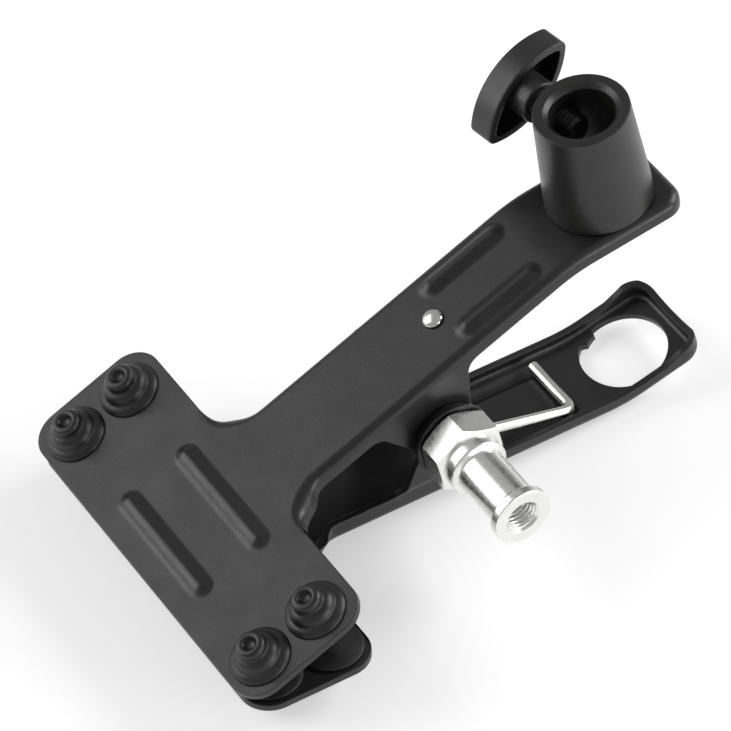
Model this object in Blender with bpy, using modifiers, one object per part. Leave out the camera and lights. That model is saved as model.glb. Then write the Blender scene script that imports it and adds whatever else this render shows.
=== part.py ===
"""Stand clamp: two pressed steel levers with rubber-padded T jaws, closed by a torsion spring.

The upper lever carries a socket with a thumbscrew, and the pivot carries a stud.
Lengths are in metres. Both levers are modelled in their own frame, with the pivot
at the origin, X along the handle, Y along the pivot and Z out of the clamp.
"""
import math
from collections import namedtuple

import bmesh
import bpy
from mathutils import Matrix, Vector

SEAT = 0.0003            # gap between pieces that touch
SHEET = 0.0018           # thickness of the pressed sheet
BEYOND = 0.004           # how far a cutter runs past what it cuts

# Levers; front, rear and reach are distances from the pivot, along the plate, and
# height is from the pivot to the plate's outer face
Lever = namedtuple("Lever", "front rear reach bend_start neck_flange flange end_flange height")
UPPER = Lever(front=0.0810, rear=0.0434, reach=0.0845,
              bend_start=0.0440, neck_flange=0.0046, flange=0.0042, end_flange=0.0042,
              height=0.0195)
LOWER = Lever(front=0.0800, rear=0.0443, reach=0.0790,
              bend_start=0.0480, neck_flange=0.0060, flange=0.0044, end_flange=0.0060,
              height=0.0206)
SPREAD = math.radians(24.0)        # angle between the plates with the jaws closed
JAW_WIDTH = 0.1120       # of both jaws
JAW_CORNER = 0.0080
NECK_FILLET = 0.0118
HANDLE_WIDTH = 0.0294
FOLD_RADIUS = 0.0018     # outer radius where plate and flange meet
INNER_FOLD = 0.0008
FLANGE_LEAN = 0.42       # outward lean of the flange in the fillet, per depth
FLANGE_START = 0.0005    # the flange begins this far from the jaw's rear edge
FLANGE_FIRST = 0.0004    # and this deep
FLANGE_RUNOUT = 0.0006   # length over which it reaches its full depth
END_CORNER = 0.0060
END_SCOOP = 0.0026       # how much lower the end wall is in its middle
BEND_ANGLE = math.radians(15.0)    # both handle ends bend towards each other
BEND_RADIUS = 0.0450
BEND_STEPS = 4

# Ears
EAR_RADIUS = 0.0094
EAR_SLOPE = math.radians(15.0)
EAR_FILLET = 0.0042
JOGGLE_ROOT = 0.0152     # where the lower ears begin to step outwards, below the pivot
JOGGLE_TOP = 0.0112

# Embossed ribs
RIB_HEIGHT = 0.0013
RIB_WIDTH = 0.0064
RIB_SHAPE = ((0.0, -0.5), (0.0, 0.0), (0.0007, 0.30), (0.0016, 0.75), (0.0027, 1.0))
JAW_RIB_LENGTH = 0.0424
JAW_RIB_PITCH = 0.0182
HANDLE_RIB_START = 0.0166
HANDLE_RIB_LENGTH = 0.0275
HANDLE_RIB_PITCH = 0.0172

# Hand hole of the lower handle
HAND_HOLE_AT = 0.0625    # along the plate from the pivot
HAND_HOLE_RADIUS = 0.0118
TAB_WIDTH = 0.0050       # small tab that stands into the hole
TAB_DEPTH = 0.0016
TAB_ANGLE = math.radians(115.0)

# Rubber pads
PAD_MIDDLE = 0.0625      # pivot to the middle of the four pads of a jaw
PAD_PITCH_ALONG = 0.0175
PAD_INSET = 0.0100       # from the jaw's end to the pad's middle
PAD_NECK_RADIUS = 0.0036
PAD_FLANGE_RADIUS = 0.0082
PAD_FOOT_RADIUS = 0.0086
PAD_FOOT = ((0.0086, 0.0005), (0.0078, 0.00085), (0.0058, 0.00125), (0.0034, 0.0017),
            (0.0, 0.0020))         # radius and thickness of the domed inner foot
PAD_STEP_RADIUS = 0.0058
PAD_TIP_RADIUS = 0.0042
PAD_HEIGHT = 0.0072
PAD_STEPS = 14

# Pivot
BOLT_RADIUS = 0.0030
BOLT_HEAD_WIDTH = 0.0130
BOLT_HEAD = 0.0053
SLEEVE_WALL = 0.0012
WASHER_RADIUS = 0.0104
NEAR_WASHER = 0.0008
FAR_WASHER = 0.0013

# Stud, outwards from its hexagon
HEX_WIDTH = 0.0180       # across flats
HEX_LENGTH = 0.0085
HEX_TURN = math.radians(40.0)
STUD_RADIUS = 0.0080
STUD_COLLAR = 0.0034
STUD_WAIST_RADIUS = 0.0064
STUD_WAIST = 0.0178
STUD_FLANGE = 0.0026
STUD_TAPER = 0.0008
STUD_THREAD_RADIUS = 0.0042
STUD_THREAD_DEPTH = 0.0140
BOLT_ENGAGEMENT = 0.0110

# Torsion spring
WIRE_RADIUS = 0.0015
COIL_LENGTH = 0.0212     # between the middles of the end turns
WHOLE_TURNS = 5
TURN_POINTS = 10
TOE_REACH = 0.0397       # pivot to the toe that lies across the handle
TOE_LENGTH = 0.0190
ELBOW_RADIUS = 0.0028
ELBOW_STEPS = 4

# Rivet and the keeper it holds
RIVET_AT = 0.0152
RIVET_RADIUS = 0.0020
RIVET_HEAD_RADIUS = 0.0028
RIVET_HEAD = 0.0015
KEEPER_SHEET = 0.0012
KEEPER_WIDTH = 0.0080
KEEPER_BACK = 0.0050     # how far the strip runs past the rivet, away from the leg
KEEPER_LIP = 0.0014      # how far the hook runs past the leg

# Socket, in a frame that stands on the bent end of the upper handle
SOCKET_AT = 0.0676       # along the plate from the pivot
SOCKET_HEIGHT = 0.0310
SOCKET_BASE_RADIUS = 0.0140
SOCKET_TOP_RADIUS = 0.0123
SOCKET_BORE_RADIUS = 0.0084
SOCKET_MOUTH_RADIUS = 0.0097
SOCKET_MOUTH_DEPTH = 0.0014
SOCKET_RIM_ROUND = 0.0006
SOCKET_NECK_RADIUS = 0.0100
RING_NUT_RADIUS = 0.0120
RING_NUT = 0.0030
RING_NUT_CHAMFER = 0.0007
RING_NUT_SLOT = 0.0030
NECK_PROUD = 0.0006      # neck below the ring nut
SOCKET_STEPS = 32

# Thumbscrew, measured outwards from the socket's axis
SCREW_HEIGHT = 0.0212    # above the socket's base
SCREW_HEADING = math.radians(98.0)
SCREW_RADIUS = 0.0039
SCREW_TIP = 0.0030
SCREW_TIP_CHAMFER = 0.0010
KNOB_BACK = 0.0224
KNOB_DEPTH = 0.0076
KNOB_LENGTH = 0.0332
KNOB_WIDTH = 0.0160
KNOB_WALL = 0.0020
KNOB_FACE = 0.0024
KNOB_ROUND = 0.0010
KNOB_TIP_ROUND = 0.0022
KNOB_BOSS_RADIUS = 0.0050
KNOB_BOSS_BACK = 0.0172
KNOB_TILT = math.radians(62.0)

# Worked out from the sizes above
HALF_HANDLE = HANDLE_WIDTH / 2
HALF_JAW = JAW_WIDTH / 2
LOWER_EAR_STEP = SHEET + SEAT
OUTER_EAR_FACE = HALF_HANDLE + LOWER_EAR_STEP
SLEEVE_RADIUS = BOLT_RADIUS + SEAT + SLEEVE_WALL
COIL_RADIUS = (SLEEVE_RADIUS + SEAT + WIRE_RADIUS) / math.cos(math.pi / TURN_POINTS)
REST_TILT = math.atan2(PAD_HEIGHT, PAD_MIDDLE - PAD_PITCH_ALONG / 2 - PAD_TIP_RADIUS
                       + LOWER.bend_start)

BLACK_STEEL = ((0.030, 0.030, 0.030), 0.0, 0.55)
RUBBER = ((0.010, 0.010, 0.010), 0.0, 0.60)
BRIGHT_ZINC = ((0.75, 0.75, 0.73), 1.0, 0.25)
BLACK_OXIDE = ((0.020, 0.020, 0.020), 0.6, 0.45)
BLACK_CASTING = ((0.022, 0.022, 0.022), 0.0, 0.50)
BLACK_PLASTIC = ((0.018, 0.018, 0.018), 0.0, 0.40)


# Scene and materials

def clear_scene():
    for item in list(bpy.data.objects):
        bpy.data.objects.remove(item, do_unlink=True)


def new_collection(name):
    group = bpy.data.collections.new(name)
    bpy.context.scene.collection.children.link(group)
    return group


def finish_material(name, look):
    colour, metallic, roughness = look
    made = bpy.data.materials.new(name)
    made.use_nodes = True
    shader = made.node_tree.nodes["Principled BSDF"]
    shader.inputs["Base Color"].default_value = (*colour, 1.0)
    shader.inputs["Metallic"].default_value = metallic
    shader.inputs["Roughness"].default_value = roughness
    return made


def add_frame(name, location=(0, 0, 0), rotation=(0, 0, 0), parent=None):
    """An empty that carries the pieces of one body."""
    frame = bpy.data.objects.new(name, None)
    frame.location = location
    frame.rotation_euler = rotation
    frame.parent = parent
    PARTS.objects.link(frame)
    return frame


def add_piece(name, mesh, look, parent, location=(0, 0, 0), rotation=(0, 0, 0)):
    piece = bpy.data.objects.new(name, mesh)
    piece.location = location
    piece.rotation_euler = rotation
    piece.parent = parent
    PARTS.objects.link(piece)
    mesh.materials.clear()
    mesh.materials.append(finish_material(name, look))
    return piece


# Shapes

def arc(centre_x, centre_y, radius, start, end, steps):
    """Points on an arc, both ends included; angles in degrees."""
    points = []
    for index in range(steps + 1):
        angle = math.radians(start + (end - start) * index / steps)
        points.append((centre_x + radius * math.cos(angle), centre_y + radius * math.sin(angle)))
    return points


def mesh_of(item):
    """The evaluated mesh of an object, in world space; the object is removed."""
    bpy.context.view_layer.update()
    graph = bpy.context.evaluated_depsgraph_get()
    mesh = bpy.data.meshes.new_from_object(item.evaluated_get(graph))
    mesh.transform(item.matrix_world)
    bpy.data.objects.remove(item, do_unlink=True)
    return mesh


def weld(mesh, distance=0.000002):
    work = bmesh.new()
    work.from_mesh(mesh)
    bmesh.ops.remove_doubles(work, verts=work.verts, dist=distance)
    bmesh.ops.recalc_face_normals(work, faces=work.faces)
    work.to_mesh(mesh)
    work.free()
    return mesh


def prism(outline, low, high):
    """A flat outline in X and Y, made solid from z = low to z = high."""
    curve = bpy.data.curves.new("outline", "CURVE")
    curve.dimensions = "2D"
    curve.fill_mode = "BOTH"
    curve.extrude = (high - low) / 2
    line = curve.splines.new("POLY")
    line.points.add(len(outline) - 1)
    for point, (x, y) in zip(line.points, outline):
        point.co = (x, y, 0, 1)
    line.use_cyclic_u = True
    item = bpy.data.objects.new("outline", curve)
    item.location = (0, 0, (low + high) / 2)
    bpy.context.scene.collection.objects.link(item)
    return weld(mesh_of(item))


def cross_prism(outline, half_width):
    """A flat outline in X and Z, made solid across Y."""
    mesh = prism(outline, -half_width, half_width)
    mesh.transform(Matrix.Rotation(math.pi / 2, 4, "X"))
    return mesh


def turned(profile, steps, closed=False):
    """A profile of (radius, height) points, outer side downwards, turned about Z."""
    mesh = bpy.data.meshes.new("profile")
    edges = [(index, index + 1) for index in range(len(profile) - 1)]
    if closed:
        edges.append((len(profile) - 1, 0))
    mesh.from_pydata([(radius, 0, height) for radius, height in profile], edges, [])
    item = bpy.data.objects.new("profile", mesh)
    bpy.context.scene.collection.objects.link(item)
    spin = item.modifiers.new("spin", "SCREW")
    spin.axis = "Z"
    spin.steps = steps
    spin.render_steps = steps
    spin.use_merge_vertices = True
    spin.merge_threshold = 0.00001
    return weld(mesh_of(item))


def ring(inner, outer, low, high, steps):
    return turned([(outer, high), (outer, low), (inner, low), (inner, high)], steps, closed=True)


def rod(radius, low, high, steps):
    return turned([(0, high), (radius, high), (radius, low), (0, low)], steps)


def wire(points, radius):
    """A round wire through the points, with closed ends."""
    curve = bpy.data.curves.new("wire", "CURVE")
    curve.dimensions = "3D"
    curve.bevel_depth = radius
    curve.bevel_resolution = 1
    curve.use_fill_caps = True
    line = curve.splines.new("POLY")
    line.points.add(len(points) - 1)
    for point, place in zip(line.points, points):
        point.co = (*place, 1)
    item = bpy.data.objects.new("wire", curve)
    bpy.context.scene.collection.objects.link(item)
    return weld(mesh_of(item), 0.00001)


def combine(mesh, others, operation):
    """Joins, cuts or trims a mesh with each of the others in turn."""
    item = bpy.data.objects.new("work", mesh)
    bpy.context.scene.collection.objects.link(item)
    tools = []
    for other in others:
        tool = bpy.data.objects.new("cutter", other)
        tool.hide_render = True
        tool.display_type = "WIRE"
        CUTTERS.objects.link(tool)
        change = item.modifiers.new("combine", "BOOLEAN")
        change.operation = operation
        change.object = tool
        tools.append(tool)
    result = mesh_of(item)
    for tool in tools:
        bpy.data.objects.remove(tool, do_unlink=True)
    return result


def merge_flat(mesh):
    """Joins neighbouring faces that lie in one plane."""
    work = bmesh.new()
    work.from_mesh(mesh)
    bmesh.ops.dissolve_degenerate(work, dist=0.000005, edges=work.edges)
    bmesh.ops.dissolve_limit(work, angle_limit=0.0005, verts=work.verts, edges=work.edges)
    work.to_mesh(mesh)
    work.free()
    return mesh


def round_edges(mesh, chosen, radius, steps):
    """Rounds the edges that the function chosen(first end, second end) picks."""
    work = bmesh.new()
    work.from_mesh(mesh)
    bmesh.ops.dissolve_limit(work, angle_limit=0.0005, verts=work.verts, edges=work.edges)
    edges = []
    for edge in work.edges:
        sharp = len(edge.link_faces) == 2 and edge.calc_face_angle(0) > 0.5
        if sharp and chosen(edge.verts[0].co, edge.verts[1].co):
            edges.append(edge)
    bmesh.ops.bevel(work, geom=edges, offset=radius, segments=steps, profile=0.5,
                    affect="EDGES", clamp_overlap=False)
    work.to_mesh(mesh)
    work.free()
    return mesh


def slice_at(mesh, places, axis):
    """Adds edges where the mesh crosses the planes at the places along an axis."""
    work = bmesh.new()
    work.from_mesh(mesh)
    normal = Vector(axis)
    for place in places:
        everything = work.verts[:] + work.edges[:] + work.faces[:]
        bmesh.ops.bisect_plane(work, geom=everything, dist=0.0000005,
                               plane_co=normal * place, plane_no=normal)
    work.to_mesh(mesh)
    work.free()
    return mesh


def shade(mesh):
    mesh.shade_smooth()
    mesh.set_sharp_from_angle(angle=math.radians(35))
    return mesh


# Levers

def half_to_whole(points):
    """Closes an outline of the +Y half by its mirror image."""
    return points + [(x, -y) for x, y in reversed(points)]


def lever_plan(lever):
    """The lever seen from above, before its handle is bent."""
    corner = JAW_CORNER
    fillet = NECK_FILLET
    wide = HALF_JAW - corner
    points = arc(corner - lever.front, wide, corner, 180, 90, 5)
    points += arc(-lever.rear - corner, wide, corner, 90, 0, 5)
    points += arc(fillet - lever.rear, HALF_HANDLE + fillet, fillet, 180, 270, 7)
    points += arc(lever.reach - END_CORNER, HALF_HANDLE - END_CORNER, END_CORNER, 90, 0, 4)
    return half_to_whole(points)


def cavity_plan(lever):
    """The space under the plate: all of the jaw, and what lies inside the flanges."""
    fillet = NECK_FILLET
    corner = END_CORNER - SHEET
    inner = HALF_HANDLE - SHEET
    first = FLANGE_START - lever.rear
    turn = math.degrees(math.acos((fillet - FLANGE_START) / (fillet + SHEET)))
    points = [(-lever.front - BEYOND, HALF_JAW + BEYOND), (first, HALF_JAW + BEYOND)]
    points += arc(fillet - lever.rear, HALF_HANDLE + fillet, fillet + SHEET, 180 + turn, 270, 7)
    points += arc(lever.reach - SHEET - corner, inner - corner, corner, 90, 0, 3)
    return half_to_whole(points)


def lever_side(lever):
    """The lever seen from the side, before its handle is bent: plate, flanges and an ear."""
    neck = lever.height - lever.neck_flange
    handle = lever.height - lever.flange
    slope_x = math.cos(EAR_SLOPE)
    slope_z = math.sin(EAR_SLOPE)
    root_neck = (EAR_RADIUS + neck * slope_z) / slope_x
    root_handle = (EAR_RADIUS + handle * slope_z) / slope_x
    turn = math.degrees(EAR_SLOPE)
    step = EAR_FILLET
    top = lever.height + BEYOND
    first = lever.height - SHEET - FLANGE_FIRST
    points = [(-lever.front - BEYOND, top), (-lever.front - BEYOND, first)]
    points += [(-lever.rear, first), (FLANGE_RUNOUT - lever.rear, neck)]
    points += soft_corner((-root_neck - step, neck), (-root_neck, neck),
                          (-root_neck + step * slope_z, neck - step))
    points += arc(0, 0, EAR_RADIUS, 180 - turn, 360 + turn, 16)
    points += soft_corner((root_handle - step * slope_z, handle - step), (root_handle, handle),
                          (root_handle + step, handle))
    points += [(lever.reach - 2 * END_CORNER, handle),
               (lever.reach - END_CORNER, lever.height - lever.end_flange)]
    points += [(lever.reach + BEYOND, lever.height - lever.end_flange), (lever.reach + BEYOND, top)]
    return points


def soft_corner(first, corner, last, steps=4):
    """Points on a curve that leaves first and reaches last along the sides of a corner."""
    points = []
    for index in range(steps + 1):
        t = index / steps
        points.append(tuple(a * (1 - t) ** 2 + b * 2 * t * (1 - t) + c * t * t
                            for a, b, c in zip(first, corner, last)))
    return points


def end_scoop(lever):
    """A cutter that lowers the end wall's edge towards its middle."""
    low = lever.height - lever.end_flange
    wide = HALF_HANDLE - SHEET
    points = [(-wide, low - BEYOND), (wide, low - BEYOND)]
    for index in range(9):
        share = 1 - index / 4
        points.append((wide * share, low + END_SCOOP * (1 - share * share)))
    mesh = prism(points, lever.reach - 3 * SHEET, lever.reach + BEYOND)
    mesh.transform(Matrix(((0, 0, 1, 0), (1, 0, 0, 0), (0, 1, 0, 0), (0, 0, 0, 1))))
    return mesh


def stadium(middle_x, middle_y, length, width, along_y):
    """A long outline with round ends."""
    half = (length - width) / 2
    points = arc(half, 0, width / 2, -90, 90, 6) + arc(-half, 0, width / 2, 90, 270, 6)
    if along_y:
        points = [(-y, x) for x, y in points]
    return [(x + middle_x, y + middle_y) for x, y in points]


def stack(rings):
    """A solid through rings of (x, y, z) points that all have the same count."""
    count = len(rings[0])
    points = [point for ring_points in rings for point in ring_points]
    faces = [list(range(count))[::-1], [len(points) - count + i for i in range(count)]]
    for level in range(len(rings) - 1):
        for index in range(count):
            after = (index + 1) % count
            low = level * count
            faces.append((low + index, low + after, low + count + after, low + count + index))
    mesh = bpy.data.meshes.new("stack")
    mesh.from_pydata(points, [], faces)
    return weld(mesh, 0.0000005)


def rib_tools(places, height):
    """For each rib, the raised shape outside and the groove behind it."""
    raised = []
    grooves = []
    for middle_x, middle_y, length, width, along_y in places:
        for made, base, first, scale in ((raised, height, 0.0, 1.0),
                                         (grooves, height - SHEET, SHEET / 2, 0.7)):
            rings = []
            for inset, share in RIB_SHAPE:
                inset = first + inset * scale
                outline = stadium(middle_x, middle_y, length - 2 * inset, width - 2 * inset, along_y)
                rings.append([(x, y, base + RIB_HEIGHT * share) for x, y in outline])
            made.append(stack(rings))
    return raised, grooves


def jaw_ribs():
    return [(-PAD_MIDDLE + side * JAW_RIB_PITCH / 2, 0, JAW_RIB_LENGTH, RIB_WIDTH, True)
            for side in (-1, 1)]


def handle_ribs():
    middle = HANDLE_RIB_START + HANDLE_RIB_LENGTH / 2
    return [(middle, side * HANDLE_RIB_PITCH / 2, HANDLE_RIB_LENGTH, RIB_WIDTH, False)
            for side in (-1, 1)]


def pad_places():
    """Each pad's name ending and its place on the jaw."""
    return [(end + "_" + side, -PAD_MIDDLE + step_x * PAD_PITCH_ALONG / 2,
             step_y * (HALF_JAW - PAD_INSET))
            for end, step_x in (("front", -1), ("rear", 1))
            for side, step_y in (("far", 1), ("near", -1))]


def plate_hole(x, y, radius, height, steps):
    mesh = rod(radius, height - SHEET - BEYOND, height + BEYOND, steps)
    mesh.transform(Matrix.Translation((x, y, 0)))
    return mesh


def bend_handle(mesh, lever):
    """Bends the handle's end inwards round an axis below the plate."""
    start = lever.bend_start
    arc_length = BEND_RADIUS * BEND_ANGLE
    places = [start + arc_length * index / BEND_STEPS for index in range(BEND_STEPS + 1)]
    slice_at(mesh, places, (1, 0, 0))
    for vertex in mesh.vertices:
        vertex.co = bent_place(vertex.co, lever)
    return mesh


def bent_place(place, lever):
    """Where a point of the straight handle ends up once the handle is bent."""
    start = lever.bend_start
    beyond = place.x - start
    if beyond <= 0:
        return place.copy()
    turn = min(beyond / BEND_RADIUS, BEND_ANGLE)
    straight = beyond - BEND_RADIUS * turn
    reach = BEND_RADIUS + place.z - lever.height
    x = start + reach * math.sin(turn) + straight * math.cos(turn)
    z = lever.height - BEND_RADIUS + reach * math.cos(turn) - straight * math.sin(turn)
    return Vector((x, place.y, z))


def step_ears(mesh):
    """Steps the lower lever's ears outwards, so that they pass outside the upper ones."""
    ramp = JOGGLE_ROOT - JOGGLE_TOP
    slice_at(mesh, [JOGGLE_TOP + ramp * index / 4 for index in range(5)], (0, 0, 1))
    for vertex in mesh.vertices:
        if vertex.co.z < JOGGLE_ROOT and abs(vertex.co.y) > HALF_HANDLE - 2 * SHEET:
            share = min(1.0, (JOGGLE_ROOT - vertex.co.z) / ramp)
            smooth = share * share * (3 - 2 * share)
            vertex.co.y += math.copysign(LOWER_EAR_STEP * smooth, vertex.co.y)
    return mesh


def lever_shell(lever):
    """The bare pressing: plate, folded flanges and ears, with a straight handle."""
    def folded(level):
        return lambda a, b: (min(a.z, b.z) > level - 0.0001
                             and min(a.x, b.x) > -lever.rear - 0.0001
                             and max(abs(a.y), abs(b.y)) < HALF_HANDLE + NECK_FILLET)

    shell = prism(lever_plan(lever), -EAR_RADIUS - BEYOND, lever.height)
    round_edges(shell, folded(lever.height), FOLD_RADIUS, 3)
    cavity = prism(cavity_plan(lever), -EAR_RADIUS - 2 * BEYOND, lever.height - SHEET)
    round_edges(cavity, folded(lever.height - SHEET), INNER_FOLD, 2)
    shell = combine(shell, [cavity], "DIFFERENCE")
    side = cross_prism(lever_side(lever), HALF_JAW + BEYOND)
    shell = merge_flat(combine(shell, [side], "INTERSECT"))
    return flare_fillet(combine(shell, [end_scoop(lever)], "DIFFERENCE"), lever)


def flare_fillet(mesh, lever):
    """Leans the flange outwards where it turns from the neck into the jaw."""
    for vertex in mesh.vertices:
        x, y, z = vertex.co
        depth = lever.height - z
        back_x = NECK_FILLET - lever.rear - x
        back_y = HALF_HANDLE + NECK_FILLET - abs(y)
        near = math.hypot(back_x, back_y) < NECK_FILLET + 2 * SHEET
        if near and back_x > 0 and back_y > -0.0001 and 0 < depth < lever.neck_flange + SEAT:
            turn = math.degrees(math.atan2(back_y, back_x))
            share = max(0.0, min(1.0, (85 - turn) / 50, turn / 30))
            lean = FLANGE_LEAN * depth * share * share * (3 - 2 * share)
            away = Vector((back_x, math.copysign(back_y, y))).normalized() * lean
            vertex.co.x += away.x
            vertex.co.y += away.y
    return mesh


def common_holes(height):
    """Holes that both levers have: four for pads and one through both ears."""
    holes = [plate_hole(x, y, PAD_NECK_RADIUS + SEAT, height, PAD_STEPS)
             for _, x, y in pad_places()]
    pivot = rod(BOLT_RADIUS + SEAT, -HALF_HANDLE - BEYOND, HALF_HANDLE + BEYOND, 16)
    pivot.transform(Matrix.Rotation(math.pi / 2, 4, "X"))
    return holes + [pivot]


def hand_hole():
    """The big round hole of the lower handle, with the small tab that stands into it."""
    outline = []
    steps = 36
    half_tab = TAB_WIDTH / 2 / HAND_HOLE_RADIUS
    for index in range(steps):
        angle = 2 * math.pi * index / steps
        turn = (angle - TAB_ANGLE + math.pi) % (2 * math.pi) - math.pi
        radius = HAND_HOLE_RADIUS - (TAB_DEPTH if abs(turn) < half_tab else 0)
        outline.append((HAND_HOLE_AT + radius * math.cos(angle), radius * math.sin(angle)))
    return prism(outline, LOWER.height - SHEET - BEYOND, LOWER.height + BEYOND)


def make_upper_lever(frame):
    raised, grooves = rib_tools(jaw_ribs() + handle_ribs(), UPPER.height)
    shell = combine(lever_shell(UPPER), raised, "UNION")
    holes = common_holes(UPPER.height)
    holes.append(plate_hole(RIVET_AT, 0, RIVET_RADIUS + SEAT, UPPER.height, 12))
    holes.append(plate_hole(SOCKET_AT, 0, SOCKET_NECK_RADIUS + SEAT, UPPER.height, SOCKET_STEPS))
    shell = combine(shell, grooves + holes, "DIFFERENCE")
    bend_handle(shell, UPPER)
    add_piece("upper_lever", shade(weld(shell)), BLACK_STEEL, frame)


def make_lower_lever(frame):
    raised, grooves = rib_tools(jaw_ribs() + handle_ribs(), LOWER.height)
    shell = combine(lever_shell(LOWER), raised, "UNION")
    shell = combine(shell, grooves + common_holes(LOWER.height) + [hand_hole()], "DIFFERENCE")
    step_ears(shell)
    bend_handle(shell, LOWER)
    shell.transform(Matrix.Scale(-1, 4, (0, 0, 1)))
    shell.flip_normals()
    add_piece("lower_lever", shade(weld(shell)), BLACK_STEEL, frame)


# Rubber pads

def pad_profile():
    """Half a pad: stepped nipple outside the plate, neck through it, foot inside."""
    foot = -SHEET - SEAT
    outside = [(0, PAD_HEIGHT - 0.0012), (PAD_TIP_RADIUS * 0.42, PAD_HEIGHT - 0.0010),
               (PAD_TIP_RADIUS * 0.70, PAD_HEIGHT), (PAD_TIP_RADIUS, PAD_HEIGHT - 0.0006),
               (PAD_TIP_RADIUS, PAD_HEIGHT - 0.0024), (PAD_STEP_RADIUS, PAD_HEIGHT - 0.0032),
               (PAD_STEP_RADIUS, PAD_HEIGHT - 0.0046), (PAD_FLANGE_RADIUS, PAD_HEIGHT - 0.0052),
               (PAD_FLANGE_RADIUS, SEAT), (PAD_NECK_RADIUS, SEAT)]
    inside = [(PAD_NECK_RADIUS, foot), (PAD_FOOT_RADIUS, foot)]
    inside += [(radius, foot - thick) for radius, thick in PAD_FOOT]
    return outside + inside


def make_pads(prefix, frame, lever, turn):
    shape = shade(turned(pad_profile(), PAD_STEPS))
    height = lever.height * round(math.cos(turn))
    for name, x, y in pad_places():
        add_piece(prefix + "_" + name, shape.copy(), RUBBER, frame, (x, y, height), (turn, 0, 0))


# Pivot, stud and spring

def hexagon(width, low, high):
    corner = width / 2 / math.cos(math.pi / 6)
    return prism(arc(0, 0, corner, 0, 300, 5), low, high)


def make_pivot(frame):
    """Everything on the pivot axis; near pieces stand towards -Y, far ones towards +Y."""
    near = (math.pi / 2, 0, 0)
    far = (-math.pi / 2, 0, 0)
    inner = HALF_HANDLE - SHEET
    sleeve = ring(BOLT_RADIUS + SEAT, SLEEVE_RADIUS, -inner + SEAT, inner - SEAT, 20)
    add_piece("pivot_sleeve", shade(sleeve), BRIGHT_ZINC, frame, rotation=near)
    washer_foot = OUTER_EAR_FACE + SEAT
    washer = ring(BOLT_RADIUS + SEAT, WASHER_RADIUS, washer_foot, washer_foot + NEAR_WASHER, 24)
    add_piece("washer_near", shade(washer), BLACK_OXIDE, frame, rotation=near)
    washer = ring(BOLT_RADIUS + SEAT, WASHER_RADIUS * 0.8, washer_foot,
                  washer_foot + FAR_WASHER, 24)
    add_piece("washer_far", shade(washer), BRIGHT_ZINC, frame, rotation=far)
    stud_foot = washer_foot + NEAR_WASHER + SEAT
    head_foot = washer_foot + FAR_WASHER + SEAT
    bolt = rod(BOLT_RADIUS, -stud_foot - BOLT_ENGAGEMENT, head_foot + BOLT_HEAD / 2, 20)
    head = hexagon(BOLT_HEAD_WIDTH, head_foot, head_foot + BOLT_HEAD)
    add_piece("pivot_bolt", shade(combine(bolt, [head], "UNION")), BRIGHT_ZINC, frame,
              rotation=far)
    add_piece("stud", shade(stud_mesh(stud_foot)), BRIGHT_ZINC, frame, rotation=near)


def stud_mesh(foot):
    """Hexagon, collar, waist and end flange in one turned bar, drilled from both ends."""
    collar = foot + HEX_LENGTH
    waist = collar + STUD_COLLAR
    flange = waist + STUD_WAIST
    end = flange + STUD_FLANGE
    core = STUD_RADIUS * 0.9
    body = turned([(0, end), (STUD_RADIUS - STUD_TAPER / 2, end), (STUD_RADIUS, end - STUD_TAPER / 2),
                   (STUD_RADIUS, flange), (STUD_WAIST_RADIUS, flange - STUD_TAPER),
                   (STUD_WAIST_RADIUS, waist + STUD_TAPER), (STUD_RADIUS, waist),
                   (STUD_RADIUS, collar - SEAT), (core, collar - SEAT), (core, foot + SEAT),
                   (0, foot + SEAT)], 28)
    nut = hexagon(HEX_WIDTH, foot, collar)
    nut.transform(Matrix.Rotation(HEX_TURN, 4, "Z"))
    body = combine(body, [nut], "UNION")
    thread = rod(STUD_THREAD_RADIUS, end - STUD_THREAD_DEPTH, end + BEYOND, 20)
    seat = rod(BOLT_RADIUS + SEAT, foot - BEYOND, foot + BOLT_ENGAGEMENT + SEAT * 4, 20)
    return combine(body, [thread, seat], "DIFFERENCE")


def spring_path():
    """The wire's middle line, from the lower toe's tip to the upper toe's tip."""
    lower = [Vector((p.x, -p.y, -p.z)) for p in leg_points(LOWER)]
    opened = Matrix.Rotation(-SPREAD, 3, "Y")
    upper = [opened @ p for p in leg_points(UPPER)]
    first = -leg_turn(LOWER)
    last = leg_turn(UPPER) + SPREAD - 2 * math.pi * (WHOLE_TURNS + 1)
    count = round((first - last) / (2 * math.pi) * TURN_POINTS)
    coil = []
    for index in range(count + 1):
        share = index / count
        angle = first + (last - first) * share
        coil.append(Vector((COIL_RADIUS * math.cos(angle), COIL_LENGTH * (share - 0.5),
                            COIL_RADIUS * math.sin(angle))))
    return lower + coil + upper[::-1]


def toe_drop(lever):
    """Pivot to the middle of the wire that lies under a lever's plate."""
    return lever.height - SHEET - SEAT - WIRE_RADIUS


def leg_turn(lever):
    """Where on the coil the leg leaves it."""
    drop = toe_drop(lever)
    return math.atan2(drop, TOE_REACH) + math.acos(COIL_RADIUS / math.hypot(TOE_REACH, drop))


def leg_points(lever):
    """One leg of the spring, from its toe's tip up to the coil, on the +Y side."""
    side = COIL_LENGTH / 2
    leg_start = leg_turn(lever)
    start = Vector((COIL_RADIUS * math.cos(leg_start), side, COIL_RADIUS * math.sin(leg_start)))
    elbow = Vector((TOE_REACH, side, toe_drop(lever)))
    along = (elbow - start).normalized()
    across = Vector((0, -1, 0))
    points = [elbow + across * TOE_LENGTH]
    middle = elbow - along * ELBOW_RADIUS + across * ELBOW_RADIUS
    for index in range(ELBOW_STEPS + 1):
        turn = math.pi / 2 * index / ELBOW_STEPS
        points.append(middle + along * ELBOW_RADIUS * math.cos(turn)
                      - across * ELBOW_RADIUS * math.sin(turn))
    return points


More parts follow.
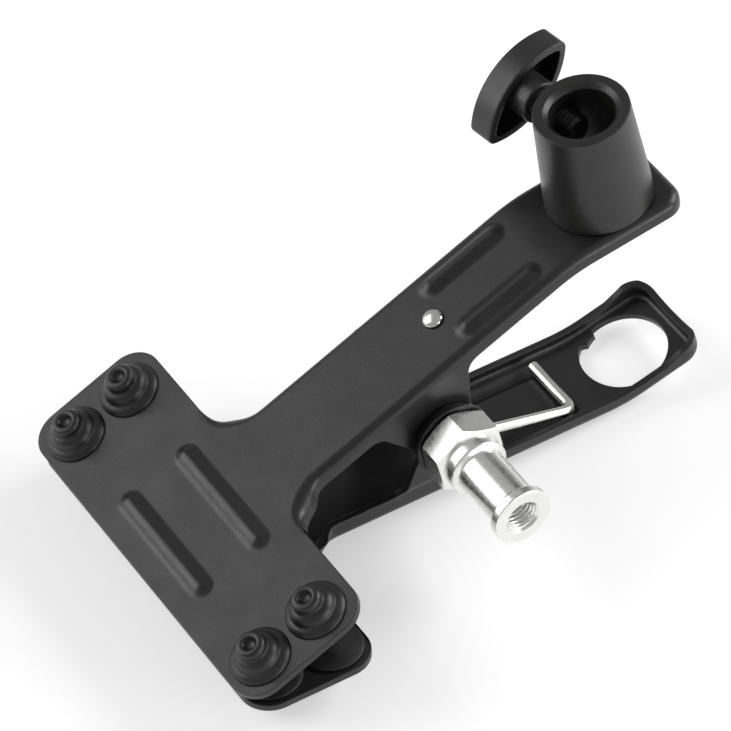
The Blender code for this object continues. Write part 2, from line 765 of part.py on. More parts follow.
def least_gap(points, radius):
    """The least clear space between parts of the wire that aren't neighbours."""
    least = 1.0
    skip = TURN_POINTS // 2
    for first in range(len(points)):
        for second in range(first + skip, len(points)):
            least = min(least, (points[first] - points[second]).length)
    return least - 2 * radius


def make_spring(frame):
    points = spring_path()
    print("least gap of the spring's wire, mm:", round(least_gap(points, WIRE_RADIUS) * 1000, 3))
    add_piece("torsion_spring", shade(wire(points, WIRE_RADIUS)), BRIGHT_ZINC, frame)


# Rivet and keeper

def leg_height(x):
    """Height of the spring's upper leg above the pivot, at a distance from it."""
    start_x = COIL_RADIUS * math.cos(leg_turn(UPPER))
    start_z = COIL_RADIUS * math.sin(leg_turn(UPPER))
    return start_z + (toe_drop(UPPER) - start_z) * (x - start_x) / (TOE_REACH - start_x)


def make_rivet(frame):
    under = UPPER.height - SHEET - SEAT - KEEPER_SHEET - SEAT
    top = UPPER.height + SEAT
    rivet = turned([(0, top + RIVET_HEAD), (RIVET_HEAD_RADIUS * 0.5, top + RIVET_HEAD * 0.88),
                    (RIVET_HEAD_RADIUS * 0.86, top + RIVET_HEAD * 0.5), (RIVET_HEAD_RADIUS, top),
                    (RIVET_RADIUS, top), (RIVET_RADIUS, under), (RIVET_HEAD_RADIUS, under),
                    (RIVET_HEAD_RADIUS * 0.8, under - RIVET_HEAD * 0.7),
                    (0, under - RIVET_HEAD * 0.7)], 16)
    add_piece("handle_rivet", shade(rivet), BRIGHT_ZINC, frame, location=(RIVET_AT, 0, 0))


def make_keeper(frame):
    """A strip under the plate whose hooked end passes under the spring's upper leg."""
    top = UPPER.height - SHEET - SEAT
    leg_y = COIL_LENGTH / 2
    wall = leg_y - WIRE_RADIUS - SEAT - KEEPER_SHEET
    low = leg_height(RIVET_AT - KEEPER_WIDTH / 2) - WIRE_RADIUS - SEAT * 2
    lip = leg_y + KEEPER_LIP
    sheet = KEEPER_SHEET
    outline = [(-KEEPER_BACK, top), (-KEEPER_BACK, top - sheet), (wall, top - sheet),
               (wall, low - sheet), (lip, low - sheet), (lip, low), (wall + sheet, low),
               (wall + sheet, top)]
    strip = prism(outline, -KEEPER_WIDTH / 2, KEEPER_WIDTH / 2)
    strip.transform(Matrix(((0, 0, 1, RIVET_AT), (1, 0, 0, 0), (0, 1, 0, 0), (0, 0, 0, 1))))
    hole = plate_hole(RIVET_AT, 0, RIVET_RADIUS + SEAT, UPPER.height, 12)
    strip = combine(strip, [hole], "DIFFERENCE")
    add_piece("spring_keeper", shade(strip), BRIGHT_ZINC, frame)


# Socket and thumbscrew

def socket_frame_place():
    """Foot of the socket on the bent handle, in the upper lever's frame."""
    return bent_place(Vector((SOCKET_AT, 0, UPPER.height)), UPPER)


def screw_hole():
    mesh = rod(SCREW_RADIUS + SEAT, SOCKET_BORE_RADIUS * 0.5, SOCKET_BASE_RADIUS + BEYOND, 16)
    mesh.transform(Matrix.Rotation(math.pi / 2, 4, "Y"))
    mesh.transform(Matrix.Rotation(SCREW_HEADING, 4, "Z"))
    mesh.transform(Matrix.Translation((0, 0, SCREW_HEIGHT)))
    return mesh


def make_socket(frame):
    """Tapered body with a through bore; its neck passes the plate and takes a ring nut."""
    neck_end = -SHEET - 2 * SEAT - RING_NUT - NECK_PROUD
    top = SOCKET_HEIGHT
    body = turned([(SOCKET_MOUTH_RADIUS, top), (SOCKET_TOP_RADIUS - SOCKET_RIM_ROUND, top),
                   (SOCKET_TOP_RADIUS, top - SOCKET_RIM_ROUND), (SOCKET_BASE_RADIUS, SEAT),
                   (SOCKET_NECK_RADIUS, SEAT), (SOCKET_NECK_RADIUS, neck_end),
                   (SOCKET_BORE_RADIUS, neck_end), (SOCKET_BORE_RADIUS, top - SOCKET_MOUTH_DEPTH)],
                  SOCKET_STEPS, closed=True)
    body = combine(body, [screw_hole()], "DIFFERENCE")
    add_piece("socket", shade(body), BLACK_CASTING, frame)
    high = -SHEET - SEAT
    low = high - RING_NUT
    edge = RING_NUT_CHAMFER
    nut = turned([(RING_NUT_RADIUS - edge, high), (RING_NUT_RADIUS, high - edge),
                  (RING_NUT_RADIUS, low + edge), (RING_NUT_RADIUS - edge, low),
                  (SOCKET_NECK_RADIUS + SEAT, low), (SOCKET_NECK_RADIUS + SEAT, high)],
                 SOCKET_STEPS, closed=True)
    slots = []
    for index in range(4):
        slot = prism([(SOCKET_NECK_RADIUS + SEAT * 3, -RING_NUT_SLOT / 2),
                      (RING_NUT_RADIUS + BEYOND, -RING_NUT_SLOT / 2),
                      (RING_NUT_RADIUS + BEYOND, RING_NUT_SLOT / 2),
                      (SOCKET_NECK_RADIUS + SEAT * 3, RING_NUT_SLOT / 2)],
                     low - BEYOND, high - RING_NUT / 3)
        slot.transform(Matrix.Rotation(math.pi / 4 + math.pi / 2 * index, 4, "Z"))
        slots.append(slot)
    nut = combine(nut, slots, "DIFFERENCE")
    add_piece("socket_nut", shade(nut), BLACK_OXIDE, frame)


def lens_outline(length, width, tip):
    """Two equal arcs that meet at rounded tips."""
    half_l = length / 2
    half_w = width / 2
    radius = (half_l ** 2 + half_w ** 2) / (2 * half_w)
    inner = radius - tip
    tip_x = math.sqrt(inner ** 2 - (radius - half_w) ** 2)
    spread = math.degrees(math.asin(tip_x / inner))
    points = arc(0, half_w - radius, radius, 90 + spread, 90 - spread, 10)
    points += arc(tip_x, 0, tip, 90 - spread, spread - 90, 4)[1:-1]
    points += arc(0, radius - half_w, radius, spread - 90, -90 - spread, 10)
    points += arc(-tip_x, 0, tip, 270 - spread, 90 + spread, 4)[1:-1]
    return points


def make_clamp_screw(frame):
    shank_end = KNOB_BACK + KNOB_DEPTH - KNOB_FACE - SEAT
    screw = turned([(0, shank_end), (SCREW_RADIUS, shank_end),
                    (SCREW_RADIUS, SCREW_TIP + SCREW_TIP_CHAMFER),
                    (SCREW_RADIUS - SCREW_TIP_CHAMFER, SCREW_TIP), (0, SCREW_TIP)], 16)
    add_piece("clamp_screw", shade(screw), BRIGHT_ZINC, frame)


def make_knob(frame):
    """A lens-shaped cap, open towards the socket, with a boss round the screw."""
    face = KNOB_BACK + KNOB_DEPTH
    tip = KNOB_TIP_ROUND
    body = prism(lens_outline(KNOB_LENGTH, KNOB_WIDTH, tip), KNOB_BACK, face)
    round_edges(body, lambda a, b: min(a.z, b.z) > face - 0.0001, KNOB_ROUND, 2)
    wall = 2 * KNOB_WALL
    hollow = prism(lens_outline(KNOB_LENGTH - wall * 1.3, KNOB_WIDTH - wall, tip * 0.6),
                   KNOB_BACK - BEYOND, face - KNOB_FACE)
    boss = rod(KNOB_BOSS_RADIUS, KNOB_BOSS_BACK, face - KNOB_FACE / 2, 20)
    bore = rod(SCREW_RADIUS + SEAT, KNOB_BOSS_BACK - BEYOND, face - KNOB_FACE, 16)
    body = combine(body, [hollow], "DIFFERENCE")
    body = combine(body, [boss], "UNION")
    body = combine(body, [bore], "DIFFERENCE")
    body.transform(Matrix.Rotation(KNOB_TILT, 4, "Z"))
    add_piece("knob", shade(body), BLACK_PLASTIC, frame)


# Assembly

def place_on_surface(root):
    """Moves the clamp so that its box stands centred on the origin."""
    bpy.context.view_layer.update()
    graph = bpy.context.evaluated_depsgraph_get()
    corners = []
    for item in PARTS.objects:
        if item.type == "MESH":
            shape = item.evaluated_get(graph)
            corners += [shape.matrix_world @ vertex.co for vertex in shape.data.vertices]
    low = [min(corner[axis] for corner in corners) for axis in range(3)]
    high = [max(corner[axis] for corner in corners) for axis in range(3)]
    root.location = (-(low[0] + high[0]) / 2, -(low[1] + high[1]) / 2, -low[2])
    bpy.context.view_layer.update()


def build():
    pivot = add_frame("pivot_frame")
    lower = add_frame("lower_frame", rotation=(0, REST_TILT, 0), parent=pivot)
    upper = add_frame("upper_frame", rotation=(0, REST_TILT - SPREAD, 0), parent=pivot)
    stand = add_frame("socket_frame", socket_frame_place(), (0, BEND_ANGLE, 0), upper)
    screw = add_frame("screw_frame", (0, 0, SCREW_HEIGHT), (0, math.pi / 2, SCREW_HEADING), stand)
    make_lower_lever(lower)
    make_upper_lever(upper)
    make_pads("lower_pad", lower, LOWER, math.pi)
    make_pads("upper_pad", upper, UPPER, 0)
    make_pivot(lower)
    make_spring(lower)
    make_rivet(upper)
    make_keeper(upper)
    make_socket(stand)
    make_clamp_screw(screw)
    make_knob(screw)
    place_on_surface(pivot)


clear_scene()
PARTS = new_collection("stand_clamp")
CUTTERS = new_collection("cutters")
build()
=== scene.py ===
"""Stand clamp: two pressed steel levers with rubber-padded T jaws, a socket and a stud.

Lengths are in metres. Both levers are made in their own frame, with the pivot at the
origin, X along the handle, Y along the pivot and Z out of the clamp, and then placed.
"""
import math
from collections import namedtuple

import bmesh
import bpy
from mathutils import Matrix, Vector


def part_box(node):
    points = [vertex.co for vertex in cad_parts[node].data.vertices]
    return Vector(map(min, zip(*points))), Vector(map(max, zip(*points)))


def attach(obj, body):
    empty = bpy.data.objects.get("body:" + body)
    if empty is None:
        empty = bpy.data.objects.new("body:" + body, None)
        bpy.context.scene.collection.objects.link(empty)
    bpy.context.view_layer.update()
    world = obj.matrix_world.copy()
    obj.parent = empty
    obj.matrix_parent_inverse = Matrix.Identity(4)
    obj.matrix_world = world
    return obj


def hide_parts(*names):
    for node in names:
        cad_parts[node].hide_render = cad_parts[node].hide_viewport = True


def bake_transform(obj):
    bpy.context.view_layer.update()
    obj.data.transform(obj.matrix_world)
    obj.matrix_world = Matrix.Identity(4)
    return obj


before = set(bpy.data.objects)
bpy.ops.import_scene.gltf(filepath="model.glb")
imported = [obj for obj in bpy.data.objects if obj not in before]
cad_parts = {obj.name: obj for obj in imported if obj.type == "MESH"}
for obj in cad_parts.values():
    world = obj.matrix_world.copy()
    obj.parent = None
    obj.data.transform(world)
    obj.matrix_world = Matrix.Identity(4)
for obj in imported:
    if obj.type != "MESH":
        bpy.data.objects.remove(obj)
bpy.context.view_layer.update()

SEAT = 0.0003
SHEET = 0.0018
BEYOND = 0.004

# Levers; front, rear and reach are distances from the pivot, along the plate
Lever = namedtuple("Lever", "front rear reach bend_start neck_flange flange end_flange height")
UPPER = Lever(front=0.0810, rear=0.0434, reach=0.0845,
              bend_start=0.0440, neck_flange=0.0046, flange=0.0042, end_flange=0.0042,
              height=0.0195)
LOWER = Lever(front=0.0800, rear=0.0443, reach=0.0790,
              bend_start=0.0480, neck_flange=0.0060, flange=0.0044, end_flange=0.0060,
              height=0.0206)
SPREAD = math.radians(24.0)
JAW_WIDTH = 0.1120
JAW_CORNER = 0.0080
NECK_FILLET = 0.0118
HANDLE_WIDTH = 0.0294
FOLD_RADIUS = 0.0026
INNER_FOLD = 0.0012
FLANGE_LEAN = 0.42
FLANGE_START = 0.0005
FLANGE_FIRST = 0.0004
FLANGE_RUNOUT = 0.0006
END_CORNER = 0.0060
END_SCOOP = 0.0026
BEND_ANGLE = math.radians(15.0)
BEND_RADIUS = 0.0450
BEND_STEPS = 14

# Where the flange leans and its fold fades, in degrees round the neck's fillet
LEAN_FIRST = 21.0
LEAN_LAST = 85.0
LEAN_RAMP = 32.0
FOLD_FADE = 42.0
FOLD_LEAST = 0.12

# Ears
EAR_RADIUS = 0.0094
EAR_SLOPE = math.radians(15.0)
EAR_FILLET = 0.0042
JOGGLE_ROOT = 0.0152
JOGGLE_TOP = 0.0112

# Embossed ribs
RIB_HEIGHT = 0.0014
RIB_WIDTH = 0.0076
JAW_RIB_LENGTH = 0.0424
JAW_RIB_PITCH = 0.0182
HANDLE_RIB_START = 0.0166
HANDLE_RIB_LENGTH = 0.0275
HANDLE_RIB_PITCH = 0.0172
RIB_SHAPE = ((0.0, -0.5), (0.0, 0.0), (0.0004, 0.027), (0.0008, 0.105), (0.0012, 0.226),
             (0.0016, 0.376), (0.0020, 0.541), (0.0024, 0.701), (0.0028, 0.839),
             (0.0032, 0.940), (0.0035, 0.985), (0.0037, 1.0))

# Hand hole of the lower handle
HAND_HOLE_AT = 0.0625
HAND_HOLE_RADIUS = 0.0118
TAB_WIDTH = 0.0050
TAB_DEPTH = 0.0016
TAB_ANGLE = math.radians(115.0)

# Rubber pads
PAD_MIDDLE = 0.0625
PAD_PITCH_ALONG = 0.0175
PAD_INSET = 0.0100
PAD_NECK_RADIUS = 0.0036
PAD_FOOT_RADIUS = 0.0086
PAD_TIP_RADIUS = 0.0042
PAD_HEIGHT = 0.0072
PAD_STEPS = 48

# Half a pad's outside in millimetres: radius and depth below the top for the nipple,
# radius and height above the plate for the tiers
PAD_NIPPLE = ((0, 1.5), (0.8, 1.47), (1.3, 1.25), (1.65, 0.7), (1.85, 0.28), (2.15, 0.07),
              (2.6, 0), (3.1, 0.12), (3.5, 0.40), (3.75, 0.80), (3.85, 1.3), (3.9, 2.2),
              (3.95, 2.5))
PAD_TIERS = ((4.1, 4.5), (4.5, 4.36), (4.95, 4.08), (5.35, 3.68), (5.7, 3.15), (5.9, 2.6),
             (6.0, 2.15), (6.2, 1.95), (6.5, 1.80), (6.9, 1.62), (7.3, 1.34), (7.65, 1.0),
             (7.9, 0.7), (8.05, 0.4), (8.1, 0.04), (3.6, 0.04))

# Pivot
BOLT_RADIUS = 0.0030
BOLT_HEAD_WIDTH = 0.0130
BOLT_HEAD = 0.0053
SLEEVE_WALL = 0.0012
WASHER_RADIUS = 0.0104
NEAR_WASHER = 0.0008
FAR_WASHER = 0.0013

# Stud, outwards from its hexagon
HEX_WIDTH = 0.0180
HEX_LENGTH = 0.0085
HEX_TURN = math.radians(40.0)
STUD_RADIUS = 0.0080
STUD_COLLAR = 0.0034
STUD_WAIST_RADIUS = 0.0064
STUD_WAIST = 0.0178
STUD_CONE = 0.0009
STUD_FLANGE = 0.0026
STUD_THREAD_RADIUS = 0.0042
STUD_THREAD_DEPTH = 0.0140
STUD_PITCH = 0.00125
BOLT_ENGAGEMENT = 0.0110

# Torsion spring
WIRE_RADIUS = 0.0015
COIL_LENGTH = 0.0212
WHOLE_TURNS = 5
TURN_POINTS = 40
TOE_REACH = 0.0397
TOE_LENGTH = 0.0190
ELBOW_RADIUS = 0.0028
ELBOW_STEPS = 12

# Rivet
RIVET_AT = 0.0152
RIVET_RADIUS = 0.0020
RIVET_HEAD_RADIUS = 0.0028
RIVET_HEAD = 0.0015
KEEPER_SHEET = 0.0012

# Socket, in a frame that stands on the bent end of the upper handle
SOCKET_AT = 0.0676
SOCKET_HEIGHT = 0.0310
SOCKET_BASE_RADIUS = 0.0140
SOCKET_TOP_RADIUS = 0.0123
SOCKET_BORE_RADIUS = 0.0084
SOCKET_MOUTH_RADIUS = 0.0097
SOCKET_MOUTH_DEPTH = 0.0014
SOCKET_NECK_RADIUS = 0.0100
RING_NUT = 0.0030
NECK_PROUD = 0.0006
SOCKET_STEPS = 96

# Thumbscrew, measured outwards from the socket's axis
SCREW_HEIGHT = 0.0212
SCREW_HEADING = math.radians(98.0)
SCREW_RADIUS = 0.0039
SCREW_PITCH = 0.00125
SCREW_TIP = 0.0030
KNOB_BACK = 0.0224
KNOB_DEPTH = 0.0076
KNOB_LENGTH = 0.0324
KNOB_WIDTH = 0.0160
KNOB_WALL = 0.0020
KNOB_FACE = 0.0024
KNOB_ROUND = 0.0010
KNOB_RIM = 0.0003
KNOB_TIP_ROUND = 0.0022
KNOB_BOSS_RADIUS = 0.0057
KNOB_BOSS_BACK = 0.0172
KNOB_TILT = math.radians(62.0)

# Studio; the world shines WORLD_MIRRORED brighter where the object mirrors it
FLOOR_HALF = 4.0
FLOOR_LEVEL = -0.0004
PAPER_COLOUR = (0.90, 0.90, 0.90)
PAPER_LIFT = 0.45
WORLD_LIGHT = 0.15
WORLD_MIRRORED = 0.25
LAMP_AIM = Vector((0, 0, 0.03))
LAMPS = (("far_left", (-0.72, 0.64, 0.70), 1.0, 0.9, 6.4),
         ("low_left", (-1.10, 0.95, 0.40), 0.8, 0.30, 2.0),
         ("key_right", (1.0, -0.22, 0.58), 0.7, 0.5, 7.5),
         ("low_near", (0.45, -0.95, 0.22), 0.8, 0.3, 4.0))

# Camera, in the upper lever's frame
SENSOR_WIDTH = 36.0
PICTURE_WIDTH = 731.0
FOCAL_LENGTH = 5772.0
VIEW_TURN = Matrix(((0.765, -0.5179, -0.3829), (-0.643, -0.5793, -0.501),
                    (0.0377, 0.6295, -0.7761)))
VIEW_AIM = Vector((-0.06196, 0, 0.0195))
VIEW_SHIFT = Vector((-0.0422, 0.03817, 1.4304))

# Worked out from the sizes above
HALF_HANDLE = HANDLE_WIDTH / 2
HALF_JAW = JAW_WIDTH / 2
LOWER_EAR_STEP = SHEET + SEAT
OUTER_EAR_FACE = HALF_HANDLE + LOWER_EAR_STEP
SLEEVE_RADIUS = BOLT_RADIUS + SEAT + SLEEVE_WALL
COIL_RADIUS = (SLEEVE_RADIUS + SEAT + WIRE_RADIUS) / math.cos(math.pi / 10)
REST_TILT = math.atan2(PAD_HEIGHT, PAD_MIDDLE - PAD_PITCH_ALONG / 2 - PAD_TIP_RADIUS
                       + LOWER.bend_start)

# Where the object stands
SLEEVE_LOW, SLEEVE_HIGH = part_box("pivot_sleeve")
PIVOT = (SLEEVE_LOW + SLEEVE_HIGH) / 2
PIVOT.y = 0
AT_PIVOT = Matrix.Translation(PIVOT)
AT_LOWER = AT_PIVOT @ Matrix.Rotation(REST_TILT, 4, "Y")
AT_UPPER = AT_PIVOT @ Matrix.Rotation(REST_TILT - SPREAD, 4, "Y")
NEAR = Matrix.Rotation(math.pi / 2, 4, "X")
FAR = Matrix.Rotation(-math.pi / 2, 4, "X")


# Materials

class Nodes:
    """A small helper that adds and links shader nodes."""

    def __init__(self, name):
        self.material = bpy.data.materials.new(name)
        self.material.use_nodes = True
        self.tree = self.material.node_tree
        self.shader = self.tree.nodes["Principled BSDF"]
        self.place = self.add("ShaderNodeTexCoord").outputs["Object"]

    def add(self, kind, **values):
        node = self.tree.nodes.new(kind)
        for name, value in values.items():
            setattr(node, name, value)
        return node

    def link(self, source, target):
        self.tree.links.new(source, target)

    def noise(self, scale, detail=2.0, roughness=0.5):
        node = self.add("ShaderNodeTexNoise")
        node.inputs["Scale"].default_value = scale
        node.inputs["Detail"].default_value = detail
        node.inputs["Roughness"].default_value = roughness
        self.link(self.place, node.inputs["Vector"])
        return node.outputs["Fac"]

    def ramp(self, value, low, high, first=0.3, last=0.7):
        """Maps a 0 to 1 value onto low to high, with flat ends."""
        node = self.add("ShaderNodeMapRange")
        node.inputs["From Min"].default_value = first
        node.inputs["From Max"].default_value = last
        node.inputs["To Min"].default_value = low
        node.inputs["To Max"].default_value = high
        self.link(value, node.inputs["Value"])
        return node.outputs["Result"]

    def math(self, operation, first, second):
        node = self.add("ShaderNodeMath", operation=operation)
        for index, value in enumerate((first, second)):
            if isinstance(value, (int, float)):
                node.inputs[index].default_value = value
            else:
                self.link(value, node.inputs[index])
        return node.outputs["Value"]

    def mix(self, share, first, second):
        node = self.add("ShaderNodeMix", data_type="RGBA")
        self.link(share, node.inputs["Factor"])
        for name, value in (("A", first), ("B", second)):
            socket = [s for s in node.inputs if s.name == name and s.type == "RGBA"][0]
            if isinstance(value, tuple):
                socket.default_value = (*value, 1.0)
            else:
                self.link(value, socket)
        return [s for s in node.outputs if s.type == "RGBA"][0]

    def edges(self, radius, samples=4):
        """The rounded normal, and a mask that is 1 on the edges."""
        bevel = self.add("ShaderNodeBevel", samples=samples)
        bevel.inputs["Radius"].default_value = radius
        surface = self.add("ShaderNodeNewGeometry")
        dot = self.add("ShaderNodeVectorMath", operation="DOT_PRODUCT")
        self.link(bevel.outputs["Normal"], dot.inputs[0])
        self.link(surface.outputs["Normal"], dot.inputs[1])
        mask = self.ramp(dot.outputs["Value"], 1.0, 0.0, 0.80, 0.995)
        return bevel.outputs["Normal"], mask

    def bump(self, height, distance, strength=1.0, normal=None):
        node = self.add("ShaderNodeBump")
        node.inputs["Distance"].default_value = distance
        node.inputs["Strength"].default_value = strength
        self.link(height, node.inputs["Height"])
        if normal:
            self.link(normal, node.inputs["Normal"])
        return node.outputs["Normal"]

    def finish(self, colour, roughness, normal, metallic=0.0):
        self.link(colour, self.shader.inputs["Base Color"])
        self.link(roughness, self.shader.inputs["Roughness"])
        self.link(normal, self.shader.inputs["Normal"])
        self.shader.inputs["Metallic"].default_value = metallic
        return self.material


def powder_coat(name, dark, light, worn, grain=1500.0):
    """Sprayed and baked powder: fine orange peel, a faint mottle and thin edges."""
    made = Nodes(name)
    fine = made.noise(grain, 2.0, 0.6)
    broad = made.noise(90.0, 3.0, 0.55)
    speck = made.noise(4200.0, 1.0, 0.5)
    normal, edge = made.edges(0.0006)
    mottle = made.math("ADD", made.math("MULTIPLY", fine, 0.55), made.math("MULTIPLY", broad, 0.45))
    colour = made.mix(made.ramp(mottle, 0.0, 1.0, 0.38, 0.62), dark, light)
    wear = made.ramp(made.noise(260.0, 4.0, 0.6), 0.15, 0.6, 0.42, 0.62)
    rubbed = made.math("MULTIPLY", edge, wear)
    colour = made.mix(rubbed, colour, worn)
    roughness = made.ramp(made.math("ADD", made.math("MULTIPLY", speck, 0.5),
                                    made.math("MULTIPLY", broad, 0.5)), 0.31, 0.42, 0.4, 0.6)
    normal = made.bump(fine, 0.00006, 0.55, normal)
    normal = made.bump(speck, 0.00002, 0.5, normal)
    return made.finish(colour, roughness, normal)


def moulded_rubber(name):
    made = Nodes(name)
    fine = made.noise(1800.0, 2.0, 0.5)
    broad = made.noise(160.0, 3.0, 0.5)
    normal, edge = made.edges(0.0003)
    colour = made.mix(made.ramp(broad, 0.0, 1.0, 0.35, 0.65),
                      (0.008, 0.008, 0.0078), (0.014, 0.014, 0.0135))
    colour = made.mix(made.math("MULTIPLY", edge, 0.35), colour, (0.030, 0.030, 0.029))
    roughness = made.ramp(broad, 0.34, 0.46, 0.35, 0.65)
    normal = made.bump(fine, 0.00004, 0.4, normal)
    return made.finish(colour, roughness, normal)


def plated(name, colour=(0.80, 0.80, 0.775), dull=(0.62, 0.62, 0.60), low=0.14, high=0.26):
    """Bright zinc over turned or drawn steel, with faint tool marks."""
    made = Nodes(name)
    marks = made.noise(700.0, 3.0, 0.6)
    broad = made.noise(120.0, 3.0, 0.5)
    normal, edge = made.edges(0.00025)
    base = made.mix(made.ramp(broad, 0.0, 1.0, 0.35, 0.7), colour, dull)
    base = made.mix(made.math("MULTIPLY", edge, 0.5), base, (0.88, 0.88, 0.86))
    roughness = made.ramp(marks, low, high, 0.35, 0.65)
    normal = made.bump(marks, 0.00002, 0.12, normal)
    return made.finish(base, roughness, normal, metallic=1.0)


# Black steel with lighter edges. On the near washer and the thumbscrew its black also stands in for
# painted shade.
def black_steel_and_painted_shade(name):
    made = Nodes(name)
    fine = made.noise(1400.0, 3.0, 0.6)
    normal, edge = made.edges(0.0002)
    colour = made.mix(made.ramp(fine, 0.0, 1.0, 0.4, 0.6),
                      (0.014, 0.014, 0.015), (0.024, 0.024, 0.025))
    colour = made.mix(made.math("MULTIPLY", edge, 0.5), colour, (0.10, 0.10, 0.10))
    roughness = made.ramp(fine, 0.35, 0.5, 0.35, 0.65)
    return made.finish(colour, roughness, made.bump(fine, 0.00003, 0.4, normal), metallic=0.4)


# Shapes

def arc(centre_x, centre_y, radius, start, end, steps):
    """Points on an arc, both ends included; angles in degrees."""
    points = []
    for index in range(steps + 1):
        angle = math.radians(start + (end - start) * index / steps)
        points.append((centre_x + radius * math.cos(angle), centre_y + radius * math.sin(angle)))
    return points


def soften(points, radius, steps=5, closed=False):
    """Rounds the corners of a profile, each as far as its sides allow."""
    count = len(points)
    made = []
    for index in range(count):
        here = Vector(points[index])
        if not closed and index in (0, count - 1):
            made.append(tuple(here))
            continue
        back = Vector(points[index - 1]) - here
        ahead = Vector(points[(index + 1) % count]) - here
        reach = min(radius, back.length * 0.48, ahead.length * 0.48)
        first = here + back.normalized() * reach
        last = here + ahead.normalized() * reach
        for step in range(steps + 1):
            t = step / steps
            made.append(tuple(first * (1 - t) ** 2 + here * 2 * t * (1 - t) + last * t * t))
    return made


def mesh_of(item):
    """The evaluated mesh of an object, in world space; the object is removed."""
    bpy.context.view_layer.update()
    graph = bpy.context.evaluated_depsgraph_get()
    mesh = bpy.data.meshes.new_from_object(item.evaluated_get(graph))
    mesh.transform(item.matrix_world)
    bpy.data.objects.remove(item, do_unlink=True)
    return mesh


def weld(mesh, distance=0.000002):
    work = bmesh.new()
    work.from_mesh(mesh)
    bmesh.ops.remove_doubles(work, verts=work.verts, dist=distance)
    bmesh.ops.recalc_face_normals(work, faces=work.faces)
    work.to_mesh(mesh)
    work.free()
    return mesh


def prism(outline, low, high):
    """A flat outline in X and Y, made solid from z = low to z = high."""
    curve = bpy.data.curves.new("outline", "CURVE")
    curve.dimensions = "2D"
    curve.fill_mode = "BOTH"
    curve.extrude = (high - low) / 2
    line = curve.splines.new("POLY")
    line.points.add(len(outline) - 1)
    for point, (x, y) in zip(line.points, outline):
        point.co = (x, y, 0, 1)
    line.use_cyclic_u = True
    item = bpy.data.objects.new("outline", curve)
    item.location = (0, 0, (low + high) / 2)
    bpy.context.scene.collection.objects.link(item)
    return weld(mesh_of(item))


def cross_prism(outline, half_width):
    """A flat outline in X and Z, made solid across Y."""
    mesh = prism(outline, -half_width, half_width)
    mesh.transform(NEAR)
    return mesh


def stack(rings):
    """A solid through rings of (x, y, z) points that all have the same count."""
    count = len(rings[0])
    points = [point for ring_points in rings for point in ring_points]
    faces = [list(range(count))[::-1], [len(points) - count + i for i in range(count)]]
    for level in range(len(rings) - 1):
        for index in range(count):
            after = (index + 1) % count
            low = level * count
            faces.append((low + index, low + after, low + count + after, low + count + index))
    mesh = bpy.data.meshes.new("stack")
    mesh.from_pydata(points, [], faces)
    return weld(mesh, 0.0000005)


def turned(profile, steps, closed=False):
    """A profile of (radius, height) points turned about Z."""
    count = len(profile)
    points = []
    rows = []
    for radius, height in profile:
        if radius < 0.0000001:
            rows.append([len(points)])
            points.append((0, 0, height))
        else:
            rows.append(list(range(len(points), len(points) + steps)))
            for index in range(steps):
                turn = 2 * math.pi * index / steps
                points.append((radius * math.cos(turn), radius * math.sin(turn), height))
    faces = []
    pairs = [(index, index + 1) for index in range(count - 1)]
    if closed:
        pairs.append((count - 1, 0))
    for low, high in pairs:
        for index in range(steps):
            after = (index + 1) % steps
            a, b = rows[low][index % len(rows[low])], rows[low][after % len(rows[low])]
            c, d = rows[high][after % len(rows[high])], rows[high][index % len(rows[high])]
            face = [a]
            face += [v for v in (b, c, d) if v not in face]
            if len(set(face)) > 2:
                faces.append(list(dict.fromkeys(face)))
    mesh = bpy.data.meshes.new("turned")
    mesh.from_pydata(points, [], faces)
    return weld(mesh)


def rod(radius, low, high, steps):
    return turned([(0, high), (radius, high), (radius, low), (0, low)], steps)


def threaded(radius, pitch, low, high, steps=40, depth=0.6, plug=0.0):
    """A threaded rod with chamfered ends; when plug is not zero the ends are left unchamfered."""
    rows = []
    per_turn = 8
    count = max(2, round((high - low) / pitch * per_turn))
    for level in range(count + 1):
        height = low + (high - low) * level / count
        row = []
        from_end = min(height - low, high - height)
        for index in range(steps):
            turn = index / steps
            phase = (height / pitch - turn) % 1.0
            crest = abs(phase * 2 - 1)
            cut = pitch * depth * max(0.0, min(1.0, crest * 1.5 - 0.25))
            size = radius - max(cut, 0.8 * (pitch * 0.8 - from_end) if plug == 0.0 else 0.0)
            row.append((size * math.cos(2 * math.pi * turn), size * math.sin(2 * math.pi * turn),
                        height))
        rows.append(row)
    return stack(rows)


def wire(points, radius):
    """A round wire through the points, with closed ends."""
    curve = bpy.data.curves.new("wire", "CURVE")
    curve.dimensions = "3D"
    curve.bevel_depth = radius
    curve.bevel_resolution = 6
    curve.use_fill_caps = True
    line = curve.splines.new("POLY")
    line.points.add(len(points) - 1)
    for point, place in zip(line.points, points):
        point.co = (*place, 1)
    item = bpy.data.objects.new("wire", curve)
    bpy.context.scene.collection.objects.link(item)
    return weld(mesh_of(item), 0.00001)


def combine(mesh, others, operation):
    """Joins, cuts or trims a mesh with each of the others in turn."""
    item = bpy.data.objects.new("work", mesh)
    bpy.context.scene.collection.objects.link(item)
    tools = []
    for other in others:
        tool = bpy.data.objects.new("cutter", other)
        bpy.context.scene.collection.objects.link(tool)
        change = item.modifiers.new("combine", "BOOLEAN")
        change.operation = operation
        change.object = tool
        tools.append(tool)
    result = mesh_of(item)
    for tool in tools:
        bpy.data.objects.remove(tool, do_unlink=True)
    return result


def merge_flat(mesh):
    """Joins neighbouring faces that lie in one plane."""
    work = bmesh.new()
    work.from_mesh(mesh)
    bmesh.ops.dissolve_degenerate(work, dist=0.000005, edges=work.edges)
    bmesh.ops.dissolve_limit(work, angle_limit=0.0005, verts=work.verts, edges=work.edges)
    work.to_mesh(mesh)
    work.free()
    return mesh


